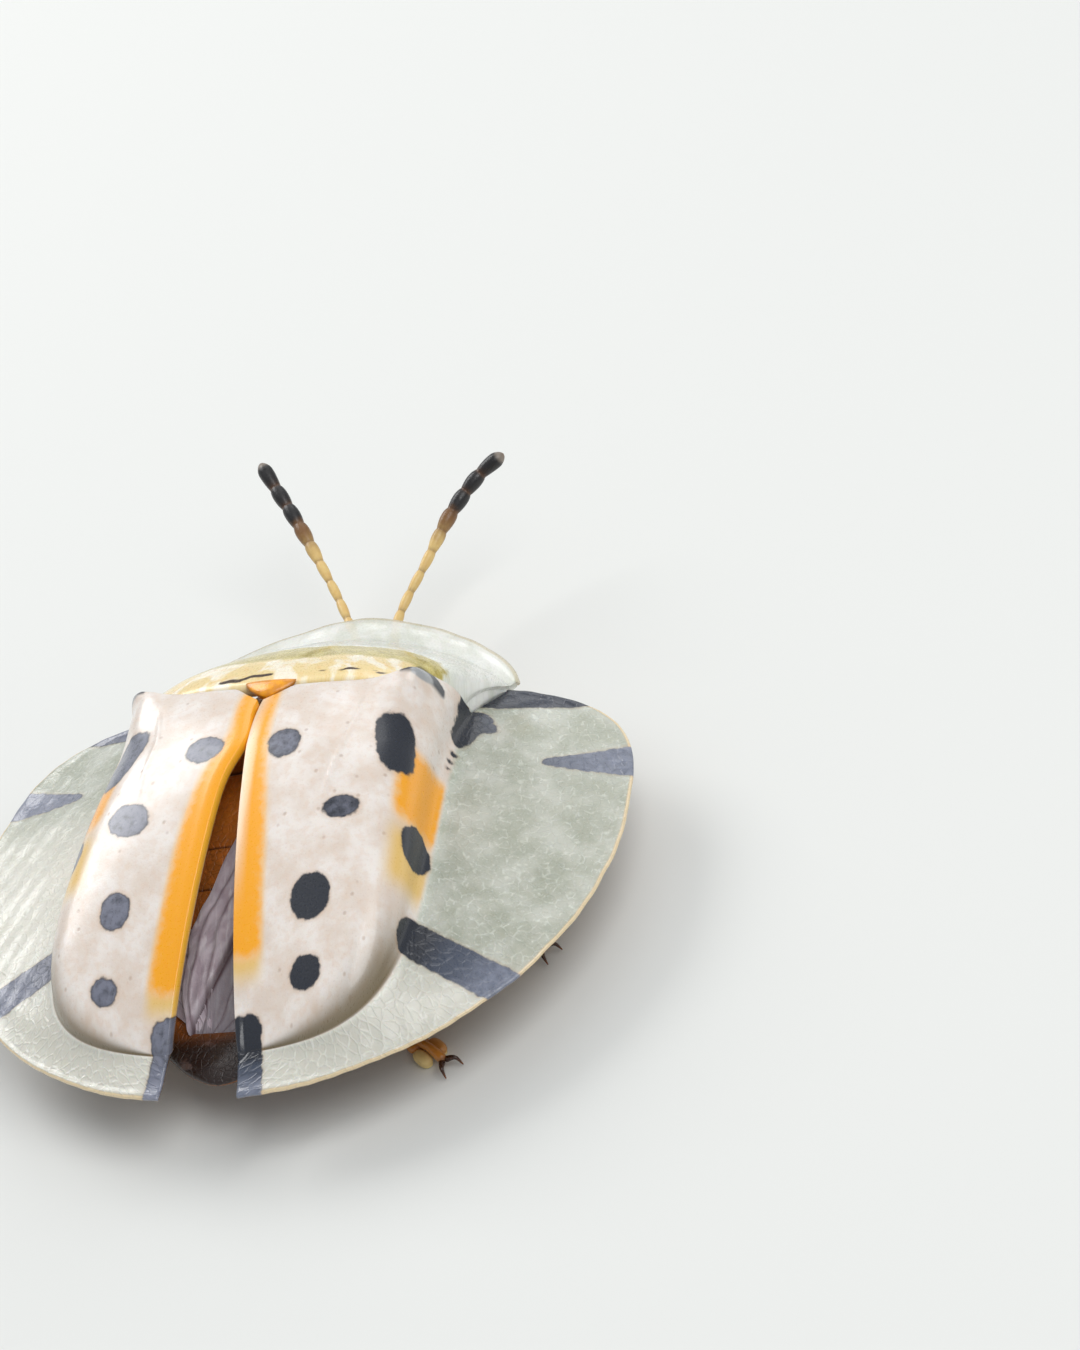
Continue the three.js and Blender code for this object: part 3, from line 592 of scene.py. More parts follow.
def wing_cover_patch(word, opening, sizes):
    """A thin closed shell with a raised bead along the seam, a shoulder bump, a thickened rim and shallow
    ribs. Each is a bell of its own height, width and distance from the seam or the rim; the ribs are
    sines."""
    near_base = BASE_REACH * (1 - np.cos(np.linspace(0, np.pi / 2, 6)))
    along = np.concatenate([near_base, np.linspace(BASE_REACH, 1, COVER_ROWS)[1:]])[:, None]
    across = np.concatenate([np.linspace(0, 1, DOME_COLUMNS), np.linspace(1, 2, MARGIN_COLUMNS)[1:]])
    rows, dome_edge = len(along), DOME_COLUMNS - 1
    seam, shell, edge = sizes.seam / MM, sizes.shell / MM, sizes.margin / MM
    crease = bell(across, 1, 0.1)[None, :, None]
    top = soften(wing_cover_points(along, across[None], 0.0, SUTURE[word]), crease)
    steps = np.linalg.norm(np.diff(top, axis=1, prepend=top[:, :1]), axis=2)
    arc = np.cumsum(steps, axis=1)
    x, y = top[..., 0].copy(), top[..., 1].copy()
    bead = SEAM_BEAD["height"] * bell(arc, SEAM_BEAD["out"], SEAM_BEAD["width"])
    groove = SEAM_GROOVE["depth"] * bell(arc, SEAM_GROOVE["out"], SEAM_GROOVE["width"])
    out, along_y, wide, long = CALLUS[:4]
    bump = CALLUS_HEIGHT * bell(arc, out, wide) * bell(y, along_y, long)
    swelling = bell(x, SWELLING["x"], SWELLING["half_width"])
    swelling = swelling * bell(y, SWELLING["y"], SWELLING["half_length"])
    fold = 0.02 * bell(arc, 2.0 + 0.22 * y, 0.045) * smoothstep(-1.5, -0.9, y) * smoothstep(1.3, 0.8, y)
    margin_width = np.linalg.norm(top[:, -1] - top[:, dome_edge], axis=1)[:, None]
    to_rim = (2 - across)[None] * margin_width
    lip = RIM_LIP["height"] * bell(to_rim, RIM_LIP["out"], RIM_LIP["width"])
    waves = 0.012 * np.sin(3.3 * y + 1.2 * x) + 0.007 * np.sin(9 * y - 5 * x) + 0.006 * np.sin(13 * x + 4 * y)
    ribs = waves * smoothstep(0.15, 0.6, across - 1)[None]
    top[..., 2] += bead - groove + SWELLING["height"] * swelling + fold + lip + ribs + bump
    inset = np.interp(across, [0, 0.12, 0.3, 1.0, 2.0], [seam, seam, shell, edge + 0.03, edge])[None]
    inset = inset * pinch(along / along[5], 1.0)
    under = soften(wing_cover_points(along, across[None], inset, SUTURE[word]), crease)
    under[..., 2] += (lip + ribs) * (across > 1)
    rings = swing(sheet_rings(top, under, bulge=(0.3, 0.4)), SIDES[word], opening)
    whole = np.broadcast_to(across, (rows, len(across)))
    flat = np.zeros((rows, len(across)))
    ends = np.linspace(0, 1, EDGE)[None] + np.zeros((rows, 1))
    plan = unrolled(np.stack([x, y], axis=-1), arc, dome_edge)
    values = {"across": whole, "to_rim": to_rim, "arc": arc, **shell_marks(arc, plan, y, whole, word)}
    values = {key: ringed(value) for key, value in values.items()}
    values["below"] = np.concatenate([flat, ends, flat + 1, ends[:, ::-1]], axis=1)
    return Patch(rings, uv=np.stack([ringed(arc), ringed(y)], axis=-1), values=values, wrap=True, caps="zip")


# The pronotum and the scutellum

def open_front_edge(x, opening):
    """Where the front edge of the open wing cover lies, from its place along the closed one."""
    closed = np.stack([x, front_edge_y(x), 0 * x], axis=-1)
    turned = swing(closed, 1.0, opening)
    return turned[..., 0], turned[..., 1]


def pronotum_points(u, v, lowered, opening):
    """The plate over the head: u runs across from -1 to 1, v from the rear edge to the front. In plan a row
    is a line from the covers' front edge to a squarish half oval. It falls by 1 - (v / brim)^1.6 from the
    crest."""
    far = np.abs(u)
    way = np.sign(u)
    rear_x, open_y = open_front_edge(far * SHOULDER["rim_x"], opening)
    out = far * (np.pi / 2)
    front_x = PRONOTUM["half_width"] * np.sin(out) ** (2 / PRONOTUM["power"])
    front_y = lerp(PRONOTUM["widest_y"], PRONOTUM["front_y"], np.abs(np.cos(out)) ** (2 / PRONOTUM["power"]))
    rear_y = np.minimum(np.maximum(open_y, PRONOTUM["rear_y"]) + PRONOTUM["gap"], front_y - 0.03)
    front_z = lerp(PRONOTUM["front_z"], PRONOTUM["corner_z"], far * far)
    crest = np.clip(1 - (far / 0.97) ** 4, 0, 1) ** 0.6
    rear_z = lerp(PRONOTUM["corner_z"] + 0.1, PRONOTUM["crest_z"], crest)
    fall = np.clip(1 - (v / PRONOTUM["brim"]) ** 1.6, 0, 1)
    x = lerp(np.where(far > 0, rear_x * way, 0), front_x * way, v)
    return np.stack([x, lerp(rear_y, front_y, v), front_z + (rear_z - front_z) * fall - lowered], axis=-1)


def pronotum_patch(opening):
    """The plate as a thin closed sheet, thicker over the body than at its clear brim, with a rounded edge.
    The values outer and inner are the millimetres past the olive band's two edges: outer is a squarish
    oval, and inner is nearly a line across."""
    half = 1 - np.cos(np.linspace(0, np.pi / 2, 90))
    u = np.concatenate([-1 + half, (1 - half)[::-1][1:]])[:, None]
    v = np.linspace(0, 1, 60)[None]
    top = pronotum_points(u, v, 0.0, opening)
    x, y = top[..., 0].copy(), top[..., 1].copy()
    blisters = 0.03 * bell(np.abs(x), 1.3, 0.5) * bell(v, 0.2, 0.12)
    groove = 0.05 * bell(v, PRONOTUM["brim"] - 0.14, 0.05) * (1 - u ** 4)
    lip = 0.03 * bell(v, 0.97, 0.03)
    waves = 0.01 * np.sin(5 * x + 2 * np.sin(3 * y)) * smoothstep(0.3, 0.6, v)
    top[..., 2] += blisters - groove + lip + waves
    thick = lerp(PLATE_THICK, BRIM_THICK, smoothstep(0.2, 0.85, v)) * pinch((1 - np.abs(u)) * 4.0, 0.08)
    under = top - thick[..., None] * np.array([0, 0, 1.0])
    arc = np.cumsum(np.linalg.norm(np.diff(top, axis=1, prepend=top[:, :1]), axis=2), axis=1)
    depth = arc[:, -1:] - arc
    reach = OLIVE["outer_length"]
    oval = np.abs(x / OLIVE["outer_half_width"]) ** 4 + np.abs((y - BASE_Y) / reach) ** 4
    outer = reach * (oval ** 0.25 - 1)
    inner = y - OLIVE["inner_y"] + 0.4 * smoothstep(2.2, 3.2, np.abs(x)) + 0.03 * np.sin(4 * x)
    wander = 0.035 * np.sin(6 * x + 0.6) + 0.02 * np.sin(15 * x)
    # Painted shadow: thin dark lines where the plate's rear edge meets the wing covers, carried by the crease
    # value
    left_gap_shadow = bell(y, 2.13 + 0.1 * (x + 0.6) - wander, 0.05) * smoothstep(0.62, 0.5, np.abs(x + 0.63))
    right_gap_shadow = bell(y, 2.2 - wander, 0.04) * smoothstep(0.8, 1.1, x) * smoothstep(2.5, 2.1, x)
    right_gap_shadow *= 0.55 + 0.45 * np.sin(9 * x)
    black = bell(y, 2.5 - 0.7 * (x - 3.0), 0.06) * (np.abs(x - 3.0) < 0.28)
    values = {"to_front": depth, "outer": outer, "inner": inner, "black": black,
              "crease": np.clip(left_gap_shadow + right_gap_shadow, 0, 1)}
    values = {key: ringed(value) for key, value in values.items()}
    uv = np.stack([ringed(x), ringed(depth)], axis=-1)
    return Patch(sheet_rings(top, under), uv=uv, values=values, wrap=True)


def scutellum_patch():
    """A small shield: across its length the half width falls from the base to a point behind, its top
    crowned."""
    along = np.linspace(0, 1, 30)[:, None]
    ring = np.linspace(0, 2 * np.pi, 28, endpoint=False)[None]
    widest = np.sqrt(np.clip(1 - (2 * along - 0.62) ** 2 / 1.9044, 0, 1))
    half = SCUTELLUM["half_width"] * widest * (1 - 0.55 * along)
    x = half * np.cos(ring)
    y = SCUTELLUM["y"] + lerp(SCUTELLUM["ahead"], -SCUTELLUM["behind"], along) + 0 * ring
    crown = np.where(np.sin(ring) > 0, 0.1, 0.16) * np.sin(ring) * rounded_ends(along, 0.3)
    z = SCUTELLUM["z"] + crown - 0.05 * along
    return closed(np.stack([x, y, z], axis=-1), edge=np.abs(np.cos(ring)))


# The folded hind wings

def hind_wing_patch(side):
    """A folded wing as a thin wrinkled sheet under the dome. The right one lies on the left: its inner edge
    is a slanting line over the body's back, x = 0.35 + 0.4 * y, that stops at 0.93 past the midline.
    Ridges along it are the veins. Behind a slanting fold its tip lies a step lower, with a wedge of shade
    along the step."""
    s = np.linspace(0, 1, 150)[:, None]
    t = np.linspace(0, 1, 90)[None]
    y = lerp(WING["front"], -WING["rear"], s) + 0 * t
    width = WING["half_width"] * oval(np.arccos(np.clip(s, 0, 1)), 2.6)[1]
    over = np.maximum(0.35 + 0.4 * y, -0.93 + 0.1 * smoothstep(-4.2, -4.8, y)) + 0.025 * np.sin(5 * y)
    apart = lerp(1.25, 0.3, smoothstep(-2.6, -3.6, y))
    inner = over if side > 0 else apart
    outer = np.maximum(0.15 + width, inner + 0.5)
    x = lerp(inner, outer, t)
    out = np.clip(np.abs(x) / (WING["half_width"] + 0.15), 0, 1)
    arch = np.cos(out * np.pi / 2) ** (2 / 2.2)
    z = edge_level(y) - WING["drop"] + midline_rise(y) * lerp(0.45, 1, arch)
    veins = [0.1, 0.24, 0.4, 0.58, 0.78]
    ridge = sum(VEIN_HEIGHT * bell(t, v + 0.04 * np.sin(4 * s + 9 * v), 0.014) for v in veins)
    wrinkles = 0.012 * np.sin(9 * x + 5 * np.sin(2.2 * y))
    wrinkles += 0.008 * np.sin(23 * x - 14 * y + 3 * np.sin(3 * y))
    past = x - (-0.06 + 0.52 * (y + 3.36))
    step = smoothstep(0.0, 0.09, past) * smoothstep(-2.9, -3.2, y) * (side > 0)
    wedge = bell(past, 0.1, 0.03 + 0.07 * smoothstep(-4.4, -3.3, y)) * smoothstep(-3.0, -3.25, y)
    ends = rounded_ends(s, 0.03)
    lower = 0.0 if side > 0 else UNDER_WING_DROP
    z = z + (ridge + wrinkles) * ends - 0.13 * step - lower - 0.1 * (1 - ends)
    top = np.stack([x * side, y, z], axis=-1)
    under = top - (WING_THICK * ends)[..., None] * np.array([0, 0, 1.0])
    values = {"vein": ringed(ridge / VEIN_HEIGHT), "step": ringed(step), "wedge": ringed(wedge * (side > 0))}
    uv = np.stack([ringed(x), ringed(y)], axis=-1)
    return Patch(sheet_rings(top, under), uv=uv, values=values, wrap=True, caps="zip")


# The body

BODY_STATIONS = [  # place along Y, half width, lowest and highest level
    (5.0, 0.5, 0.98, 1.7), (4.72, 0.9, 0.95, 2.2), (4.4, 1.35, 1.0, 2.6), (3.9, 1.45, 1.08, 2.9),
    (3.4, 1.6, 1.15, 3.1), (2.6, 2.1, 1.15, 3.35), (1.6, 2.4, 1.15, 3.55), (0.6, 2.45, 1.15, 3.5),
    (-0.4, 2.4, 1.12, 3.36), (-1.15, 2.38, 1.05, 3.2), (-2.2, 2.4, 1.02, 2.72), (-3.2, 2.3, 1.04, 2.2),
    (-4.2, 2.0, 1.06, 1.7), (-5.0, 1.4, 1.08, 1.5), (-5.5, 0.85, 1.1, 1.42), (-5.9, 0.4, 1.12, 1.36),
]
MIDDLE_Z = 1.75
SEGMENTS = [-1.4, -2.15, -2.9, -3.6, -4.3, -5.0]  # front edges of the abdomen's rings
FURROWS = [3.35, 2.35, 0.35]


def body_patch():
    """One skin from neck to tail. Each ring is a squarish oval through its station's half width, low and
    high level; behind each front edge in SEGMENTS it steps out by a tenth of a millimetre and eases back.
    Both ends close as a quarter circle."""
    stations = np.array(BODY_STATIONS)
    reach = np.linspace(0, 1, 300)
    y = lerp(stations[0, 0], stations[-1, 0], reach)
    run = smooth_path(stations, 600)
    run = run[np.argsort(run[:, 0])]
    half, low, high = (np.interp(y, run[:, 0], run[:, k]) for k in (1, 2, 3))
    close = rounded_ends(reach, 0.035)
    ring = np.linspace(0, 2 * np.pi, 96, endpoint=False)[None]
    c, n = oval(ring, 2.5)
    step_out = np.zeros_like(y)
    for front in SEGMENTS:
        back = front - y
        step_out += 0.05 * np.where(back > 0, np.exp(-back / 0.35), 0) - 0.06 * bell(back, 0, 0.04)
    for front in FURROWS:
        step_out -= 0.05 * bell(y, front, 0.05)
    grow = (1 + step_out / 1.5) * close
    x = (half * grow)[:, None] * c
    centre = np.minimum(MIDDLE_Z, (low + high) / 2)
    up = np.where(n > 0, (high - centre)[:, None], (centre - low)[:, None])
    z = centre[:, None] + up * n * grow[:, None]
    keel = bell(x, 0, 0.07) * (n < 0) * (smoothstep(0.2, 0.6, y) * smoothstep(3.4, 2.9, y))[:, None]
    furrow = bell(x, 0, 0.12) * (n > 0) * smoothstep(-1.0, -0.2, y)[:, None]
    z = z + (0.06 * keel - 0.07 * furrow) * close[:, None]
    row_y = np.broadcast_to(y[:, None], x.shape)
    rings = np.stack([x, row_y, z], axis=-1)
    return closed(rings, along_y=row_y, groove=step_out[:, None], below=(n < 0) * 1.0)


# The head, the eyes and the feelers

def head_patches():
    """The capsule, the lobe over the mouth, the upper lip, two jaws and the jointed mouth feelers."""
    y, z = HEAD["y"], HEAD["z"]
    sizes = (HEAD["half_width"], HEAD["half_length"], HEAD["half_height"])
    patches = [
        closed(lump((0, y, z), sizes, rows=40, columns=60, power=2.3)),
        closed(lump((0, y + 0.3, z - 0.38), (0.4, 0.24, 0.22), rows=20, columns=30)),
        closed(lump((0, y + 0.42, z - 0.55), (0.27, 0.14, 0.1), rows=16, columns=24, power=2.6), mouth=0.7),
    ]
    for side in SIDES.values():
        jaw = lump((side * 0.13, y + 0.4, z - 0.66), (0.15, 0.15, 0.1), turn=side * 0.5, rows=16, columns=20)
        socket = lump((side * 0.3, y + 0.43, z - 0.03), (0.17, 0.1, 0.17), rows=16, columns=24)
        patches += [closed(jaw, mouth=1.0), closed(socket)]
        knees = [(0.3, 0.2, -0.5), (0.46, 0.34, -0.62), (0.52, 0.5, -0.7), (0.46, 0.62, -0.76)]
        path = [(side * px, y + py, z + pz) for px, py, pz in knees]
        patches.append(jointed(path, joints=4, thick=0.075, tip=0.05))
    return patches


def jointed(path, joints, thick, tip, sides=14, first=1.0, waist=0.68):
    """A limb of beads along a smooth path: within each joint the radius is waist + (1 - waist) * sin(pi
    f)^0.5, and it runs from thick to tip along the limb."""
    t = np.linspace(0, 1, joints * 12 + 1)
    bead = waist + (1 - waist) * np.sin(np.pi * ((t * joints) % 1)) ** 0.5
    radius = lerp(thick, tip, t) * bead * rounded_ends(t, 0.35 / joints) * np.where(t < 1 / joints, first, 1)
    return closed(sweep(smooth_path(path, len(t)), radius, radius, sides), along=t[:, None])


FEELER = {"joints": 11, "shaft": 0.105, "club": 0.17, "waist": 0.72}


def feeler_patch(path):
    """Eleven joints: a stout first one, a short second one, slim ones, and five that thicken to a club."""
    root = (path[0][0] * 0.86, HEAD["y"] + 0.46, path[0][2])
    full = [root, *path]
    ends = np.array([0, 0.11, 0.16, 0.25, 0.34, 0.43, 0.52, 0.61, 0.7, 0.79, 0.88, 1.0])
    t = np.linspace(0, 1, 240)
    joint = np.clip(np.searchsorted(ends, t, side="right") - 1, 0, FEELER["joints"] - 1)
    f = (t - ends[joint]) / (ends[joint + 1] - ends[joint])
    swell = lerp(FEELER["shaft"], FEELER["club"], smoothstep(0.42, 0.7, t)) * np.where(joint == 0, 1.35, 1.0)
    shape = FEELER["waist"] + (1 - FEELER["waist"]) * np.sin(np.pi * np.clip(f, 0, 1) ** 1.3) ** 0.6
    close = np.sqrt(np.clip(1 - np.clip((t - 0.955) / 0.045, 0, 1) ** 2, 1e-4, 1))
    radius = swell * shape * close
    rings = sweep(smooth_path(full, len(t)), radius, radius, 20)
    waist = np.clip((1 - shape) / (1 - FEELER["waist"]), 0, 1)
    return closed(rings, along=t[:, None], waist=waist[:, None] ** 3)


def eye_patch(side):
    """A domed oval eye, taller than wide, set against the side of the head."""
    size = (EYE["radius"], EYE["radius"], EYE["radius"] * 1.25)
    return closed(lump((side * EYE["x"], EYE["y"], EYE["z"]), size, rows=40, columns=48))


# The legs

def limb_patch(path, radii, count=40, sides=20, flat=0.85):
    """A limb along a smooth path with a smooth run of radii, closed by rounded ends, flatter than it is
    high."""
    t = np.linspace(0, 1, count)
    radius = smooth_path([(r, i, 0) for i, r in enumerate(radii)], count)[:, 0] * rounded_ends(t, 0.12)
    rings = sweep(smooth_path(path, count), radius * flat, radius, sides)
    return closed(rings, joint=smoothstep(0.14, 0.0, np.minimum(t, 1 - t))[:, None])


def foot_frame(path, side):
    """Heel and toe of a foot, and the unit directions ahead along it and level aside."""
    toe = np.array([side * path["toe"][0], path["toe"][1], FOOT])
    heel = np.array([side * path["ankle"][0], path["ankle"][1], FOOT + 0.06])
    ahead = (toe - heel) / np.linalg.norm(toe - heel)
    aside = np.array([-ahead[1], ahead[0], 0]) / np.hypot(ahead[0], ahead[1])
    return heel, toe, ahead, aside


def leg_patches(path, side):
    """Hip, thigh, shin, two small foot joints, a two-lobed third one with its pads, and the claw joint."""
    hip, knee, ankle = (np.array([side * x, y, z]) for x, y, z in (path["coxa"], path["knee"], path["ankle"]))
    heel, toe, ahead, aside = foot_frame(path, side)
    reach = np.linalg.norm(toe - heel)
    heading = math.atan2(ahead[1], ahead[0])
    bow = np.array([0, 0, 0.1])
    claw_joint = [heel + ahead * reach * 0.4, heel + ahead * reach * 0.7 + bow, toe - ahead * 0.12]
    shin = [knee, lerp(knee, ankle, 0.5) + bow, ankle, heel]
    patches = [
        closed(lump(hip, (0.4, 0.36, 0.32), rows=24, columns=30)),
        limb_patch([hip, lerp(hip, knee, 0.5) + bow, knee], [0.16, 0.31, 0.27, 0.19, 0.15], 60, 24),
        limb_patch(shin, [0.13, 0.15, 0.17, 0.2, 0.17], 60, 24, 0.8),
    ]

    def foot_lump(along, offset, sizes, lift=0.0, power=2.2, pad=0.0):
        centre = heel + ahead * reach * along + aside * offset
        centre[2] = sizes[2] + lift
        return closed(lump(centre, sizes, turn=heading, rows=18, columns=24, power=power), pad=pad)

    patches += [
        foot_lump(0.16, 0, (0.17, 0.17, 0.13), 0.02),
        foot_lump(0.38, 0, (0.18, 0.23, 0.13), 0.01),
        limb_patch(claw_joint, [0.1, 0.1, 0.12], 30, 16),
    ]
    for half in (-1, 1):
        lobe_tone = 0.45 - 0.35 * half * side
        patches.append(foot_lump(0.62, half * 0.18, (0.24, 0.14, 0.12), 0.02, 2.4, lobe_tone))
        patches.append(foot_lump(0.62, half * 0.18, (0.22, 0.12, 0.05), 0.0, 2.4, 1.0))
    return patches


def claw_patches(path, side):
    """Two curved claws at the end of a foot."""
    toe, ahead, aside = foot_frame(path, side)[1:]
    patches = []
    for half in (-1, 1):
        root = toe - ahead * 0.16 + aside * half * 0.04
        bend = toe + aside * half * 0.17 + np.array([0, 0, 0.03])
        tip = toe + ahead * 0.12 + aside * half * 0.22
        tip[2] = 0.06
        t = np.linspace(0, 1, 24)
        thick = lerp(0.07, 0.012, t) * rounded_ends(t, 0.06)
        patches.append(closed(sweep(smooth_path([root, bend, tip], 24), thick, thick, 12), along=t[:, None]))
    return patches


# Materials

def shell_material(colours):
    """Elytron cuticle: chitin hardened in air and waxed. Cream tissue lies under a glossy clear skin on the
    dome, and the margin is the bare skin, clear as thin horn, with a net of cells."""
    material, node = new_material("elytron_cuticle")
    coords = node("UVMap", uv_map="surface_mm")
    slate, orange, yellow, brown, callus, spot_sheen, clouding_and_sheen, through, creamy, across, to_rim, below, arc = (
        node("Attribute", out="Fac", attribute_name=key)
        for key in ("slate", "orange", "yellow", "brown", "callus", "spot_sheen", "clouding_and_sheen", "through", "creamy",
                    "across", "to_rim", "below", "arc"))
    ragged = node("TexNoise", {"Vector": coords, "Scale": 6.0, "Detail": 3.0, "Roughness": 0.5})
    mottle = node("TexNoise", {"Vector": coords, "Scale": 1.3, "Detail": 5.0, "Roughness": 0.55})
    grain = node("TexNoise", {"Vector": coords, "Scale": 22.0, "Detail": 3.0})
    off = node("Math", {0: ragged, 1: 0.12, 2: -0.06}, operation="MULTIPLY_ADD")
    edge = node("Math", {0: slate, 1: off}, operation="ADD")
    spot = node("MapRange", {0: edge, 1: 0.02, 2: -0.03}, **EASE)
    clear = node("MapRange", {0: across, 1: 1.0, 2: 1.05}, **EASE)
    # The dome: cream tissue, pinker where it is thin, with orange bands, fine punctures 0.36 mm apart and a
    # brown tint at its rear edge that is partly painted shade
    patchy = node("MapRange", {0: mottle, 1: 0.36, 2: 0.64}, **EASE)
    warm = node("MapRange", {0: ragged, 1: 0.46, 2: 0.66, 4: 0.25}, **EASE)
    pits = node("TexVoronoi", {"Vector": coords, "Scale": 2.8, "Randomness": 0.75})
    pit = node("MapRange", {0: pits, 1: 0.17, 2: 0.05, 4: 0.55}, **EASE)
    glow = node("MapRange", {0: orange, 1: 0.0, 2: 0.55}, **EASE)
    stain = node("Math", {0: ragged, 1: 0.9, 2: orange}, operation="MULTIPLY_ADD")
    stain = node("MapRange", {0: stain, 1: 0.75, 2: 1.4}, **EASE)
    # The seam: a cream bead on top of the right cover, and the yellow face between the covers
    top_face = node("MapRange", {0: below, 1: 0.12, 2: 0.02}, **EASE)
    bead = node("Math", {0: creamy, 1: top_face}, operation="MULTIPLY")
    inner_face = node("MapRange", {0: top_face, 3: 0.75, 4: 0.0}, **EASE)
    by_seam = node("MapRange", {0: arc, 1: 0.05, 2: 0.0}, **EASE)
    inner_face = node("Math", {0: inner_face, 1: by_seam}, operation="MULTIPLY")
    # The shoulder's bump: pale grey and shiny inside a dark outline in front
    bump_edge = node("Math", {0: ragged, 1: 0.06, 2: callus}, operation="MULTIPLY_ADD")
    grey = node("MapRange", {0: bump_edge, 1: -0.02, 2: -0.07}, **EASE)
    ahead = node("SeparateXYZ", {0: coords}, out=1)
    ahead = node("MapRange", {0: ahead, 1: CALLUS[1] - 0.12, 2: CALLUS[1] + 0.02}, **EASE)
    outline = node("MapRange", {0: bump_edge, 1: 0.11, 2: 0.07}, **EASE)
    outline = node("Math", {0: outline, 1: ahead}, operation="MULTIPLY")
    dome = colours.cream
    for amount, coat in (
            (patchy, srgb("#EFE6DE")), (warm, srgb("#DDBFA6")), (pit, srgb("#B99F8C")),
            (brown, srgb("#77674A")), (yellow, srgb("#EBC372")), (glow, srgb("#F6C383")),
            (stain, colours.orange), (bead, srgb("#F0CBA2")), (inner_face, srgb("#FFC53C")),
            (outline, colours.slate), (grey, srgb("#A4A5A6"))):
        dome = node("Mix", {0: amount, 6: dome, 7: coat}, **TINT)
    # The margin: grey-green horn whose cells, about 0.17 mm across, carry painted highlights: pale glints on
    # their walls and white specks
    wavy = node("TexNoise", {"Vector": coords, "Scale": 2.6, "Detail": 2.0, "Distortion": 1.0}, out=1)
    bent = node("Mix", {0: 0.12, 6: coords, 7: wavy}, **TINT)
    walls = node("TexVoronoi", {"Vector": bent, "Scale": 6.0}, feature="DISTANCE_TO_EDGE")
    wall = node("MapRange", {0: walls, 1: 0.16, 2: 0.0}, **EASE)
    cloud = node("MapRange", {0: mottle, 1: 0.35, 2: 0.68}, **EASE)
    # Whitening of the margin, partly its clouding and partly painted sheen
    milk_and_sheen = node("MapRange", {0: clouding_and_sheen, 4: 0.85}, **EASE)
    # Painted highlights: glints on the cell walls and white specks
    glint = node("MapRange", {0: ragged, 1: 0.45, 2: 0.65, 3: 0.03, 4: 0.26}, **EASE)
    pale = node("Math", {0: wall, 1: glint}, operation="MULTIPLY")
    speck_glint = node("MapRange", {0: grain, 1: 0.6, 2: 0.7, 4: 0.45}, **EASE)
    rim = node("MapRange", {0: to_rim, 1: 0.06, 2: 0.02}, **EASE)
    margin = colours.margin
    for amount, coat in ((cloud, "#D6D9CC"), (milk_and_sheen, "#F6F3E6"), (pale, "#F2F4EC"), (speck_glint, "#F3F5F1"),
                         (rim, "#E6D0A8")):
        margin = node("Mix", {0: amount, 6: margin, 7: srgb(coat)}, **TINT)
    # The dark patches: slate on the dome; in the margin painted light makes them bluer and greyer where light
    # comes through and the sky is reflected
    # Painted reflection: the margin's patches grow lighter and bluer towards the rim
    far_end = node("MapRange", {0: across, 1: 1.35, 2: 1.9, 4: 0.8}, **EASE)
    far_end = node("Math", {0: far_end, 1: through}, operation="MULTIPLY")
    far_end = node("Math", {0: far_end, 1: ragged}, operation="MULTIPLY")
    # Painted grey sheen on the spots, patchy and kept off their edges
    painted_sheen = node("Math", {0: spot_sheen, 1: ragged}, operation="MULTIPLY")
    painted_sheen = node("MapRange", {0: painted_sheen, 1: 0.05, 2: 0.5, 4: 0.7}, **EASE)
    deeper = node("MapRange", {0: edge, 1: 0.0, 2: -0.05}, **EASE)
    painted_sheen = node("Math", {0: painted_sheen, 1: deeper}, operation="MULTIPLY")
    dark = colours.slate
    for amount, coat in ((through, "#404859"), (far_end, "#A3A8BA"), (painted_sheen, "#8C8E9E")):
        dark = node("Mix", {0: amount, 6: dark, 7: srgb(coat)}, **TINT)
    halo = node("MapRange", {0: edge, 1: 0.08, 2: 0.0, 4: 0.22}, **EASE)
    under = node("MapRange", {0: below, 1: 0.6, 2: 1.0}, **EASE)
    colour = dome
    for amount, coat in ((clear, margin), (halo, srgb("#B88A55")), (spot, dark), (under, srgb("#A98E6E"))):
        colour = node("Mix", {0: amount, 6: colour, 7: coat}, **TINT)
    # The margin is partly see-through, less so at its cell walls, its rim and its dark patches
    thin = node("MapRange", {0: across, 1: 1.0, 2: 1.12, 3: 1.0, 4: 0.74}, **EASE)
    thin = node("Math", {0: pale, 1: 0.5, 2: thin}, operation="MULTIPLY_ADD")
    dense = node("Math", {0: spot, 1: 0.97}, operation="MULTIPLY")
    opaque = node("Math", {0: thin, 1: dense}, operation="MAXIMUM")
    opaque = node("Math", {0: opaque, 1: rim}, operation="MAXIMUM", use_clamp=True)
    lumps = node("Math", {0: wall, 1: clear}, operation="MULTIPLY")
    lumps = node("Math", {0: lumps, 1: pit}, operation="SUBTRACT")
    lumps = node("Math", {0: grain, 1: 0.35, 2: lumps}, operation="MULTIPLY_ADD")
    bump = node("Bump", {"Strength": 0.6, "Distance": 0.014 * MM, "Height": lumps})
    rough = node("MapRange", {0: grain, 1: 0.3, 2: 0.7, 3: 0.24, 4: 0.42})
    shader = node("BsdfPrincipled", {
        "Base Color": colour, "Roughness": rough, "IOR": 1.54, "Alpha": opaque, "Normal": bump,
        "Coat Weight": 0.6, "Coat Roughness": 0.16, "Subsurface Weight": 0.1,
        "Subsurface Radius": (0.3, 0.2, 0.12), "Subsurface Scale": 0.4 * MM,
    })
    node("OutputMaterial", {0: shader})
    return material


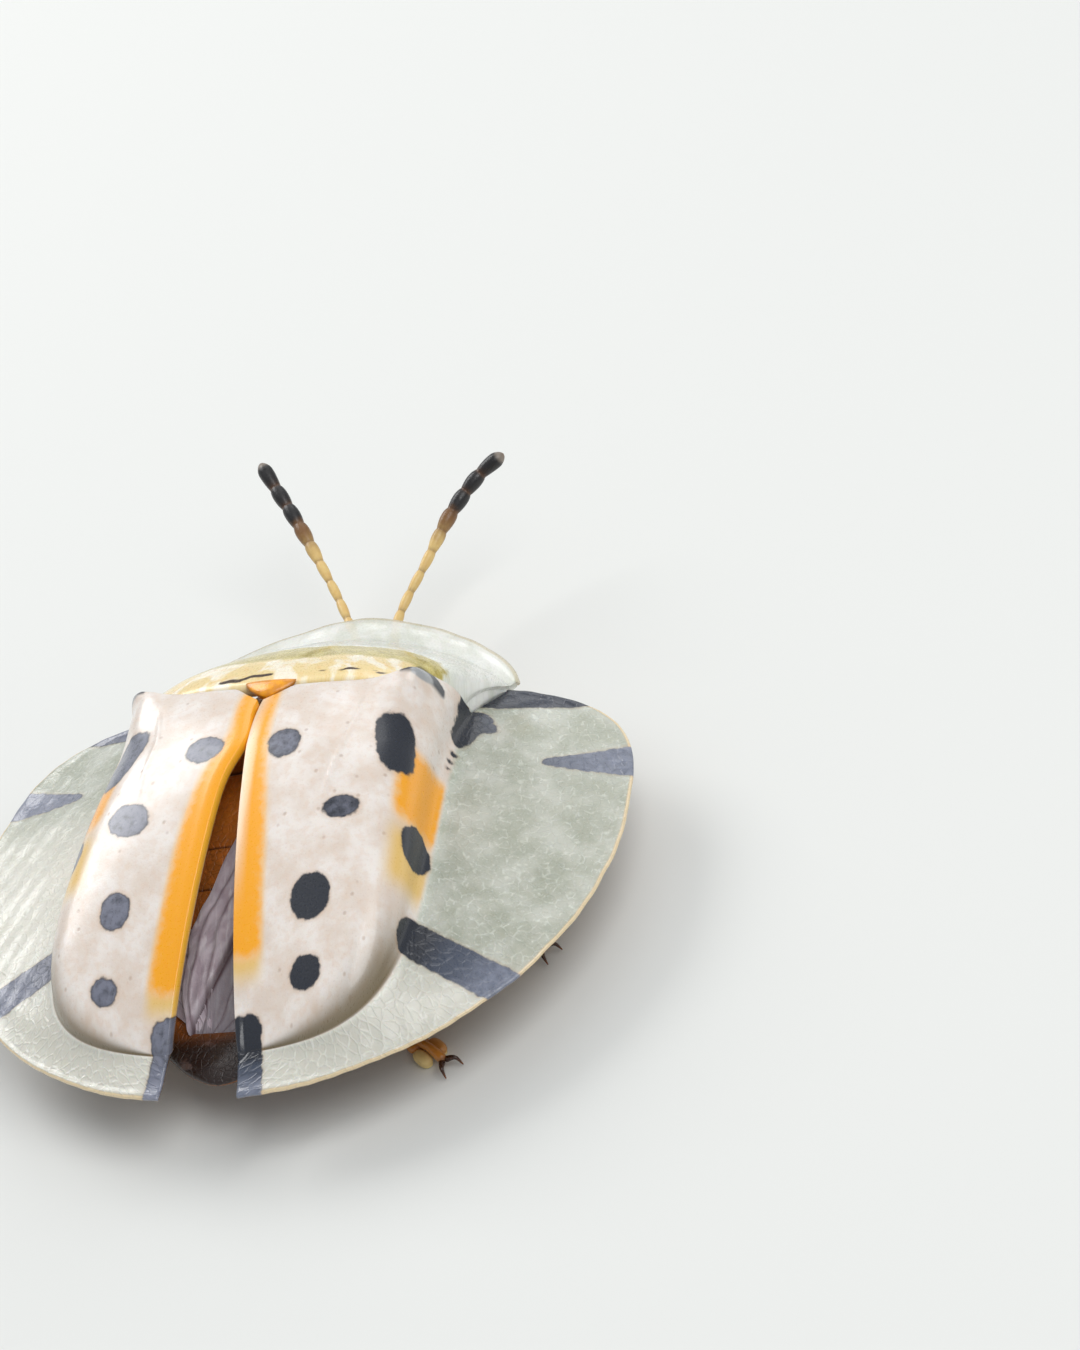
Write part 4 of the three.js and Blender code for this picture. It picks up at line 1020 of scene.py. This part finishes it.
def plate_material(colours):
    """Pronotum cuticle: the same waxed chitin, cream and orange over the muscles with an olive band of
    painted reflection before them, and a brim of bare clear horn."""
    material, node = new_material("pronotum_cuticle")
    coords = node("UVMap", uv_map="surface_mm")
    outer, inner, crease, to_front, black = (
        node("Attribute", out="Fac", attribute_name=key)
        for key in ("outer", "inner", "crease", "to_front", "black"))
    ragged = node("TexNoise", {"Vector": coords, "Scale": 4.0, "Detail": 5.0, "Roughness": 0.6})
    blotch = node("TexNoise", {"Vector": coords, "Scale": 1.7, "Detail": 4.0, "Distortion": 0.6})
    grain = node("TexNoise", {"Vector": coords, "Scale": 20.0, "Detail": 3.0})
    off = node("Math", {0: ragged, 1: 0.24, 2: -0.12}, operation="MULTIPLY_ADD")
    outer = node("Math", {0: outer, 1: off}, operation="ADD")
    inner = node("Math", {0: inner, 1: off}, operation="ADD")
    clear = node("MapRange", {0: outer, 1: -0.03, 2: 0.05}, **EASE)
    band = node("MapRange", {0: inner, 1: -0.06, 2: 0.1}, **EASE)
    # Over the muscles: orange cream with white blotches of about half a millimetre
    white = node("MapRange", {0: blotch, 1: 0.45, 2: 0.6}, **EASE)
    fine = node("MapRange", {0: ragged, 1: 0.5, 2: 0.72, 4: 0.45}, **EASE)
    # The olive band is a streaked painted reflection, and the brim before it is cloudy with a browner edge
    streak = node("MapRange", {0: ragged, 1: 0.3, 2: 0.7}, **EASE)
    olive = node("Mix", {0: streak, 6: colours.olive, 7: srgb("#D0BF6C")}, **TINT)
    cloud = node("MapRange", {0: blotch, 1: 0.35, 2: 0.66}, **EASE)
    horn = node("Mix", {0: cloud, 6: srgb("#DDDFD2"), 7: srgb("#F5F5EF")}, **TINT)
    rim = node("MapRange", {0: to_front, 1: 0.07, 2: 0.02, 4: 0.6}, **EASE)
    horn = node("Mix", {0: rim, 6: horn, 7: srgb("#CDBB8C")}, **TINT)
    # Painted shadow in the gap between the plate and the wing covers
    gap_shadow = node("MapRange", {0: crease, 1: 0.2, 2: 0.6}, **EASE)
    colour = srgb("#EFD69A")
    for amount, coat in ((white, srgb("#FCF2DC")), (fine, srgb("#E8B765")), (band, olive), (clear, horn),
                         (gap_shadow, srgb("#3D2613")), (black, srgb("#1D1B1C"))):
        colour = node("Mix", {0: amount, 6: colour, 7: coat}, **TINT)
    thin = node("MapRange", {0: outer, 1: 0.0, 2: 0.25, 3: 1.0, 4: 0.66}, **EASE)
    opaque = node("Math", {0: thin, 1: rim}, operation="MAXIMUM")
    opaque = node("Math", {0: opaque, 1: black}, operation="MAXIMUM")
    lumps = node("Math", {0: ragged, 1: 0.6, 2: grain}, operation="MULTIPLY_ADD")
    bump = node("Bump", {"Strength": 0.45, "Distance": 0.014 * MM, "Height": lumps})
    rough = node("MapRange", {0: grain, 1: 0.3, 2: 0.7, 3: 0.2, 4: 0.4})
    shader = node("BsdfPrincipled", {
        "Base Color": colour, "Roughness": rough, "IOR": 1.54, "Alpha": opaque, "Normal": bump,
        "Coat Weight": 0.5, "Coat Roughness": 0.1, "Subsurface Weight": 0.1,
        "Subsurface Radius": (0.3, 0.2, 0.12), "Subsurface Scale": 0.4 * MM,
    })
    node("OutputMaterial", {0: shader})
    return material


def shield_material(colours):
    """Scutellum cuticle: thick opaque chitin, orange, browner at its edges."""
    material, node = new_material("scutellum_cuticle")
    coords = node("TexCoord", out="Object")
    edge = node("Attribute", out="Fac", attribute_name="edge")
    ragged = node("TexNoise", {"Vector": coords, "Scale": 5.0 / MM, "Detail": 4.0})
    grain = node("TexNoise", {"Vector": coords, "Scale": 25.0 / MM, "Detail": 2.0})
    tone = node("MapRange", {0: ragged, 1: 0.35, 2: 0.65}, **EASE)
    colour = node("Mix", {0: tone, 6: colours.orange, 7: srgb("#E2901F")}, **TINT)
    browner_edge = node("MapRange", {0: edge, 1: 0.85, 2: 1.0, 4: 0.7}, **EASE)
    colour = node("Mix", {0: browner_edge, 6: colour, 7: srgb("#A8661A")}, **TINT)
    bump = node("Bump", {"Strength": 0.5, "Distance": 0.01 * MM, "Height": grain})
    rough = node("MapRange", {0: grain, 1: 0.3, 2: 0.7, 3: 0.25, 4: 0.45})
    shader = node("BsdfPrincipled", {
        "Base Color": colour, "Roughness": rough, "IOR": 1.54, "Normal": bump, "Coat Weight": 0.4,
        "Coat Roughness": 0.15,
    })
    node("OutputMaterial", {0: shader})
    return material


def membrane_material(colours):
    """Hind wing membrane: two fused skins, thin as film and crumpled by folding, smoky, with brown veins. It
    is faintly see-through and shines along its creases."""
    material, node = new_material("wing_membrane")
    coords = node("UVMap", uv_map="surface_mm")
    vein, step, wedge = (
        node("Attribute", out="Fac", attribute_name=key) for key in ("vein", "step", "wedge"))
    smoky = node("TexNoise", {"Vector": coords, "Scale": 2.2, "Detail": 5.0, "Distortion": 0.8})
    hairs = node("TexNoise", {"Vector": coords, "Scale": 26.0, "Detail": 2.0})
    combed = node("Mapping", {"Vector": coords, "Scale": (7.0, 1.6, 1.0), "Rotation": (0.0, 0.0, 0.35)})
    folds = node("TexNoise", {"Vector": combed, "Scale": 1.0, "Detail": 4.0, "Distortion": 0.5})
    tone = node("MapRange", {0: smoky, 1: 0.35, 2: 0.65}, **EASE)
    ridge = node("MapRange", {0: folds, 1: 0.52, 2: 0.66, 4: 0.5}, **EASE)
    lower = node("Math", {0: step, 1: 0.7}, operation="MULTIPLY")
    vein_tone = node("Math", {0: vein, 1: 0.6}, operation="MULTIPLY", use_clamp=True)
    colour = colours.wing
    for amount, coat in ((tone, "#AE9DA7"), (ridge, "#E9E2E6"), (lower, "#7A747A"), (vein_tone, "#5B4148"),
                         (wedge, "#472A30")):
        colour = node("Mix", {0: amount, 6: colour, 7: srgb(coat)}, **TINT)
    opaque = node("MapRange", {0: tone, 1: 0.0, 2: 1.0, 3: 0.9, 4: 0.97})
    lumps = node("Math", {0: hairs, 1: 0.4, 2: folds}, operation="MULTIPLY_ADD")
    bump = node("Bump", {"Strength": 0.8, "Distance": 0.02 * MM, "Height": lumps})
    rough = node("MapRange", {0: hairs, 1: 0.3, 2: 0.7, 3: 0.35, 4: 0.55})
    shader = node("BsdfPrincipled", {
        "Base Color": colour, "Roughness": rough, "IOR": 1.5, "Alpha": opaque, "Normal": bump,
        "Sheen Weight": 0.25, "Sheen Roughness": 0.4, "Coat Weight": 0.15, "Coat Roughness": 0.3,
    })
    node("OutputMaterial", {0: shader})
    return material


def body_material(colours):
    """Body cuticle: soft leathery chitin under the wings, orange in front and chestnut behind, with painted
    shade that darkens the tail nearly to black and painted pinkish highlights on it, darker in the furrows
    between the rings, with a fine net of wrinkles."""
    material, node = new_material("body_cuticle")
    coords = node("TexCoord", out="Object")
    along, groove, below = (
        node("Attribute", out="Fac", attribute_name=key) for key in ("along_y", "groove", "below"))
    patchy = node("TexNoise", {"Vector": coords, "Scale": 3.2 / MM, "Detail": 5.0, "Distortion": 0.5})
    grain = node("TexNoise", {"Vector": coords, "Scale": 18.0 / MM, "Detail": 3.0})
    net = node("TexVoronoi", {"Vector": coords, "Scale": 6.5 / MM}, feature="DISTANCE_TO_EDGE")
    net = node("MapRange", {0: net, 1: 0.0, 2: 0.1}, **EASE)
    front = node("MapRange", {0: along, 1: -1.6, 2: 0.1}, **EASE)
    tone = node("MapRange", {0: patchy, 1: 0.38, 2: 0.66, 4: 0.7}, **EASE)
    # Painted shade: the tail darkens nearly to black
    tail = node("MapRange", {0: along, 1: -4.2, 2: -5.2}, **EASE)
    # Painted pinkish highlights on the tail
    tail_highlight = node("MapRange", {0: patchy, 1: 0.6, 2: 0.7, 4: 0.2}, **EASE)
    tail_highlight = node("Math", {0: tail_highlight, 1: tail}, operation="MULTIPLY")
    deep = node("MapRange", {0: groove, 1: -0.005, 2: -0.05, 4: 0.85}, **EASE)
    colour = srgb("#A65F22")
    for amount, coat in ((front, srgb("#F0892A")), (tone, colours.body), (tail, srgb("#25130C")),
                         (tail_highlight, srgb("#A5867E")), (deep, srgb("#3F1C0C")), (below, srgb("#7A4A22"))):
        colour = node("Mix", {0: amount, 6: colour, 7: coat}, **TINT)
    lumps = node("Math", {0: net, 1: 0.7, 2: grain}, operation="MULTIPLY_ADD")
    bump = node("Bump", {"Strength": 0.7, "Distance": 0.02 * MM, "Height": lumps})
    rough = node("MapRange", {0: patchy, 1: 0.3, 2: 0.7, 3: 0.3, 4: 0.5})
    shader = node("BsdfPrincipled", {
        "Base Color": colour, "Roughness": rough, "IOR": 1.5, "Normal": bump, "Coat Weight": 0.3,
        "Coat Roughness": 0.2, "Subsurface Weight": 0.08, "Subsurface Radius": (0.4, 0.15, 0.06),
        "Subsurface Scale": 0.3 * MM,
    })
    node("OutputMaterial", {0: shader})
    return material


def head_material():
    """Head cuticle: hard smooth chitin, honey brown, nearly black at the mouth, lightly pitted."""
    material, node = new_material("head_cuticle")
    coords = node("TexCoord", out="Object")
    mouth = node("Attribute", out="Fac", attribute_name="mouth")
    patchy = node("TexNoise", {"Vector": coords, "Scale": 3.0 / MM, "Detail": 4.0})
    pits = node("TexVoronoi", {"Vector": coords, "Scale": 9.0 / MM})
    pit = node("MapRange", {0: pits, 1: 0.35, 2: 0.1}, **EASE)
    colour = node("Mix", {0: patchy, 6: srgb("#C98A3F"), 7: srgb("#9C5F24")}, **TINT)
    colour = node("Mix", {0: mouth, 6: colour, 7: srgb("#4A2813")}, **TINT)
    bump = node("Bump", {"Strength": 0.6, "Distance": 0.015 * MM, "Height": pit}, invert=True)
    rough = node("MapRange", {0: patchy, 1: 0.3, 2: 0.7, 3: 0.25, 4: 0.45})
    shader = node("BsdfPrincipled", {
        "Base Color": colour, "Roughness": rough, "IOR": 1.54, "Normal": bump, "Coat Weight": 0.3,
        "Coat Roughness": 0.15,
    })
    node("OutputMaterial", {0: shader})
    return material


def eye_material():
    """Compound eye: clear hard lenses over dark pigment. The lenses are 0.02 mm apart in life and drawn 0.05
    mm apart, so that their dimpled gloss shows."""
    material, node = new_material("compound_eye")
    coords = node("TexCoord", out="Object")
    lens = node("TexVoronoi", {"Vector": coords, "Scale": 1 / (0.05 * MM), "Randomness": 0.35})
    dome = node("MapRange", {0: lens, 1: 0.6, 2: 0.0}, **EASE)
    colour = node("Mix", {0: dome, 6: srgb("#0C0A0A"), 7: srgb("#33231A")}, **TINT)
    bump = node("Bump", {"Strength": 0.9, "Distance": 0.012 * MM, "Height": dome})
    rough = node("MapRange", {0: dome, 1: 0.0, 2: 1.0, 3: 0.3, 4: 0.1})
    shader = node("BsdfPrincipled", {
        "Base Color": colour, "Roughness": rough, "IOR": 1.5, "Normal": bump, "Coat Weight": 0.8,
        "Coat Roughness": 0.05,
    })
    node("OutputMaterial", {0: shader})
    return material


def feeler_material(colours):
    """Feeler cuticle: small chitin beads, pale as cream at the root and black and velvety in the club, whose
    last bead ends pale and glossy."""
    material, node = new_material("feeler_cuticle")
    coords = node("TexCoord", out="Object")
    along, waist = (node("Attribute", out="Fac", attribute_name=key) for key in ("along", "waist"))
    patchy = node("TexNoise", {"Vector": coords, "Scale": 6.0 / MM, "Detail": 4.0})
    down = node("TexNoise", {"Vector": coords, "Scale": 30.0 / MM, "Detail": 2.0})
    reach = node("Math", {0: patchy, 1: 0.06, 2: along}, operation="MULTIPLY_ADD")
    dusky = node("MapRange", {0: reach, 1: 0.55, 2: 0.7}, **EASE)
    club = node("MapRange", {0: reach, 1: 0.7, 2: 0.76}, **EASE)
    tip = node("MapRange", {0: along, 1: 0.965, 2: 0.985, 4: 0.6}, **EASE)
    joint = node("Math", {0: waist, 1: 0.65}, operation="MULTIPLY")
    colour = colours.feeler
    for amount, coat in ((patchy, "#D8A95C"), (dusky, "#7C5428"), (club, "#141112"), (tip, "#A89A8C"),
                         (joint, "#6B4420")):
        colour = node("Mix", {0: amount, 6: colour, 7: srgb(coat)}, **TINT)
    bump = node("Bump", {"Strength": 0.7, "Distance": 0.008 * MM, "Height": down})
    rough = node("MapRange", {0: down, 1: 0.3, 2: 0.7, 3: 0.3, 4: 0.6})
    shader = node("BsdfPrincipled", {
        "Base Color": colour, "Roughness": rough, "IOR": 1.52, "Normal": bump, "Coat Weight": 0.2,
        "Coat Roughness": 0.2,
    })
    node("OutputMaterial", {0: shader})
    return material


def limb_material(colours):
    """Leg cuticle: hard glossy chitin, amber, darker at the joints, with felted cream pads under the foot."""
    material, node = new_material("leg_cuticle")
    coords = node("TexCoord", out="Object")
    pad, joint = (node("Attribute", out="Fac", attribute_name=key) for key in ("pad", "joint"))
    patchy = node("TexNoise", {"Vector": coords, "Scale": 3.5 / MM, "Detail": 4.0})
    felt = node("TexNoise", {"Vector": coords, "Scale": 28.0 / MM, "Detail": 2.0})
    joint = node("Math", {0: joint, 1: 0.75}, operation="MULTIPLY")
    colour = colours.limb
    for amount, coat in ((patchy, "#D08A35"), (joint, "#4A2410"), (pad, "#E8D08C")):
        colour = node("Mix", {0: amount, 6: colour, 7: srgb(coat)}, **TINT)
    bump = node("Bump", {"Strength": 0.6, "Distance": 0.01 * MM, "Height": felt})
    rough = node("MapRange", {0: pad, 1: 0.0, 2: 1.0, 3: 0.28, 4: 0.8})
    shader = node("BsdfPrincipled", {
        "Base Color": colour, "Roughness": rough, "IOR": 1.54, "Normal": bump, "Coat Weight": 0.3,
        "Coat Roughness": 0.15,
    })
    node("OutputMaterial", {0: shader})
    return material


def claw_material():
    """Claw horn: the hardest chitin, almost black, worn amber and polished at the points."""
    material, node = new_material("claw_horn")
    coords = node("TexCoord", out="Object")
    along = node("Attribute", out="Fac", attribute_name="along")
    streaks = node("TexNoise", {"Vector": coords, "Scale": 14.0 / MM, "Detail": 3.0})
    colour = node("Mix", {0: streaks, 6: srgb("#241209"), 7: srgb("#4A2610")}, **TINT)
    worn = node("MapRange", {0: along, 1: 0.6, 2: 1.0, 4: 0.6}, **EASE)
    colour = node("Mix", {0: worn, 6: colour, 7: srgb("#8A4E1E")}, **TINT)
    bump = node("Bump", {"Strength": 0.4, "Distance": 0.006 * MM, "Height": streaks})
    rough = node("MapRange", {0: streaks, 1: 0.3, 2: 0.7, 3: 0.18, 4: 0.32})
    shader = node("BsdfPrincipled", {"Base Color": colour, "Roughness": rough, "IOR": 1.54, "Normal": bump})
    node("OutputMaterial", {0: shader})
    return material


# The operators

class BEETLE_OT_wing_covers(bpy.types.Operator):
    """Builds the two wing covers: a dome, a wide clear margin and a beaded seam"""
    bl_idname = "beetle.wing_covers"
    bl_label = "Wing covers"

    def execute(self, context):
        sizes, colours = context.scene.beetle_sizes, context.scene.beetle_colours
        material = shell_material(colours)
        for word in SIDES:
            opening = getattr(sizes, "opening_" + word)
            patch = wing_cover_patch(word, opening, sizes)
            make_piece("shell_" + word, [patch], material, ["elytron_" + word])
        return {"FINISHED"}


class BEETLE_OT_back_plates(bpy.types.Operator):
    """Builds the plate over the head and the small shield behind it"""
    bl_idname = "beetle.back_plates"
    bl_label = "Back plates"

    def execute(self, context):
        sizes, colours = context.scene.beetle_sizes, context.scene.beetle_colours
        plate = plate_material(colours)
        make_piece("head_plate", [pronotum_patch(sizes.opening_right)], plate, ["pronotum"])
        make_piece("seam_shield", [scutellum_patch()], shield_material(colours), ["scutellum"])
        return {"FINISHED"}


class BEETLE_OT_hind_wings(bpy.types.Operator):
    """Builds the folded hind wings under the covers"""
    bl_idname = "beetle.hind_wings"
    bl_label = "Hind wings"

    def execute(self, context):
        material = membrane_material(context.scene.beetle_colours)
        for word, side in SIDES.items():
            patches = [hind_wing_patch(side)]
            make_piece("folded_wing_" + word, patches, material, ["hindwing_" + word])
        return {"FINISHED"}


class BEETLE_OT_body(bpy.types.Operator):
    """Builds the body's skin, the head, the eyes and the feelers"""
    bl_idname = "beetle.body"
    bl_label = "Body, head and feelers"

    def execute(self, context):
        colours = context.scene.beetle_colours
        make_piece("body_skin", [body_patch()], body_material(colours), ["thorax", "abdomen"])
        make_piece("head_capsule", head_patches(), head_material(), ["head"])
        lens, horn = eye_material(), feeler_material(colours)
        for word, side in SIDES.items():
            make_piece("eye_lens_" + word, [eye_patch(side)], lens, ["eye_" + word])
            feeler = feeler_patch(FEELER_PATH[word])
            make_piece("feeler_" + word, [feeler], horn, ["antenna_" + word])
        return {"FINISHED"}


class BEETLE_OT_legs(bpy.types.Operator):
    """Builds the six legs and their claws"""
    bl_idname = "beetle.legs"
    bl_label = "Legs"

    def execute(self, context):
        chitin = limb_material(context.scene.beetle_colours)
        claws = []
        for word, side in SIDES.items():
            for pair, usual in LEG_PATHS.items():
                name = pair + "_" + word
                path = {**usual, **(LEFT_HIND if name == "hind_left" else {})}
                make_piece("limb_" + name, leg_patches(path, side), chitin, ["leg_" + name])
                claws += claw_patches(path, side)
        make_piece("claws", claws, claw_material())
        return {"FINISHED"}


# The stage

AIM = (4.53, 3.91, 2.22)  # the point at the photograph's centre, in the beetle's millimetres
DISTANCE = 76.27
AZIMUTH, ELEVATION, ROLL = 26.63, 37.34, 21.92
LENS, SENSOR = 102.1, 36.0
LIGHTS = {  # azimuth and elevation in degrees, size in metres, power in watts
    "key_light": (70, 58, 0.11, 0.1),
    "left_window": (-122, 38, 0.09, 0.09),
    "front_light": (175, 40, 0.1, 0.03),
}
LIGHT_AWAY = 0.14
ROOM_TINT, ROOM_STRENGTH = "#E8EEF4", 0.47
FLOOR_HALF = 0.6


def way_back(azimuth, elevation):
    """The unit direction from the beetle to a camera or light. Azimuth 0 is behind it, 90 on its right."""
    a, e = math.radians(azimuth), math.radians(elevation)
    return Vector((math.sin(a) * math.cos(e), -math.cos(a) * math.cos(e), math.sin(e)))


class BEETLE_OT_stage(bpy.types.Operator):
    """Sets the pale floor, the soft lights and the camera at the photograph's angle"""
    bl_idname = "beetle.stage"
    bl_label = "Floor, lights and camera"

    def execute(self, context):
        self.floor()
        self.lights(context.scene)
        self.camera(context.scene)
        return {"FINISHED"}

    def floor(self):
        corners = [(x * FLOOR_HALF, y * FLOOR_HALF, 0) for x, y in ((-1, -1), (1, -1), (1, 1), (-1, 1))]
        mesh = bpy.data.meshes.new("floor")
        mesh.from_pydata(corners, [], [(0, 1, 2, 3)])
        material, node = new_material("pale_matt_paper")
        shader = node("BsdfPrincipled", {"Base Color": srgb("#E4E4E0"), "Roughness": 0.85})
        node("OutputMaterial", {0: shader})
        mesh.materials.append(material)
        floor = bpy.data.objects.new("floor", mesh)
        bpy.context.scene.collection.objects.link(floor)

    def lights(self, scene):
        scene.world = bpy.data.worlds.new("soft_room")
        scene.world.use_nodes = True
        room = scene.world.node_tree.nodes["Background"].inputs
        room[0].default_value = srgb(ROOM_TINT)
        room[1].default_value = ROOM_STRENGTH
        scene.view_settings.view_transform = "Standard"
        centre = Vector(place((0, 0, 2)))
        for name, (azimuth, elevation, size, power) in LIGHTS.items():
            way = way_back(azimuth, elevation)
            data = bpy.data.lights.new(name, "AREA")
            data.shape = "DISK"
            data.size = size
            data.energy = power
            light = bpy.data.objects.new(name, data)
            light.location = centre + way * LIGHT_AWAY
            light.rotation_euler = way.to_track_quat("Z", "Y").to_euler()
            scene.collection.objects.link(light)

    def camera(self, scene):
        back = way_back(AZIMUTH, ELEVATION)
        data = bpy.data.cameras.new("photo_camera")
        data.lens = LENS
        data.sensor_width = SENSOR
        data.clip_start = 0.005
        camera = bpy.data.objects.new("photo_camera", data)
        level = back.to_track_quat("Z", "Y").to_matrix().to_4x4()
        roll = Matrix.Rotation(-math.radians(ROLL), 4, "Z")
        camera.matrix_world = Matrix.Translation(Vector(place(AIM)) + back * DISTANCE * MM) @ level @ roll
        scene.collection.objects.link(camera)
        scene.camera = camera


class BEETLE_PT_panel(bpy.types.Panel):
    bl_label = "Beetle"
    bl_space_type = "VIEW_3D"
    bl_region_type = "UI"
    bl_category = "Beetle"

    def draw(self, context):
        for group in (context.scene.beetle_sizes, context.scene.beetle_colours):
            for key in group.bl_rna.properties.keys():
                if key not in {"rna_type", "name"}:
                    self.layout.prop(group, key)
        for operator in OPERATORS:
            self.layout.operator(operator.bl_idname)


OPERATORS = (BEETLE_OT_wing_covers, BEETLE_OT_back_plates, BEETLE_OT_hind_wings, BEETLE_OT_body,
             BEETLE_OT_legs, BEETLE_OT_stage)
CLASSES = (BeetleSizes, BeetleColours, *OPERATORS, BEETLE_PT_panel)


def register():
    for item in CLASSES:
        bpy.utils.register_class(item)
    bpy.types.Scene.beetle_sizes = PointerProperty(type=BeetleSizes)
    bpy.types.Scene.beetle_colours = PointerProperty(type=BeetleColours)


def unregister():
    del bpy.types.Scene.beetle_colours
    del bpy.types.Scene.beetle_sizes
    for item in reversed(CLASSES):
        bpy.utils.unregister_class(item)


def main():
    register()
    for operator in OPERATORS:
        getattr(bpy.ops.beetle, operator.bl_idname.split(".")[1])()


if __name__ == "__main__":
    main()
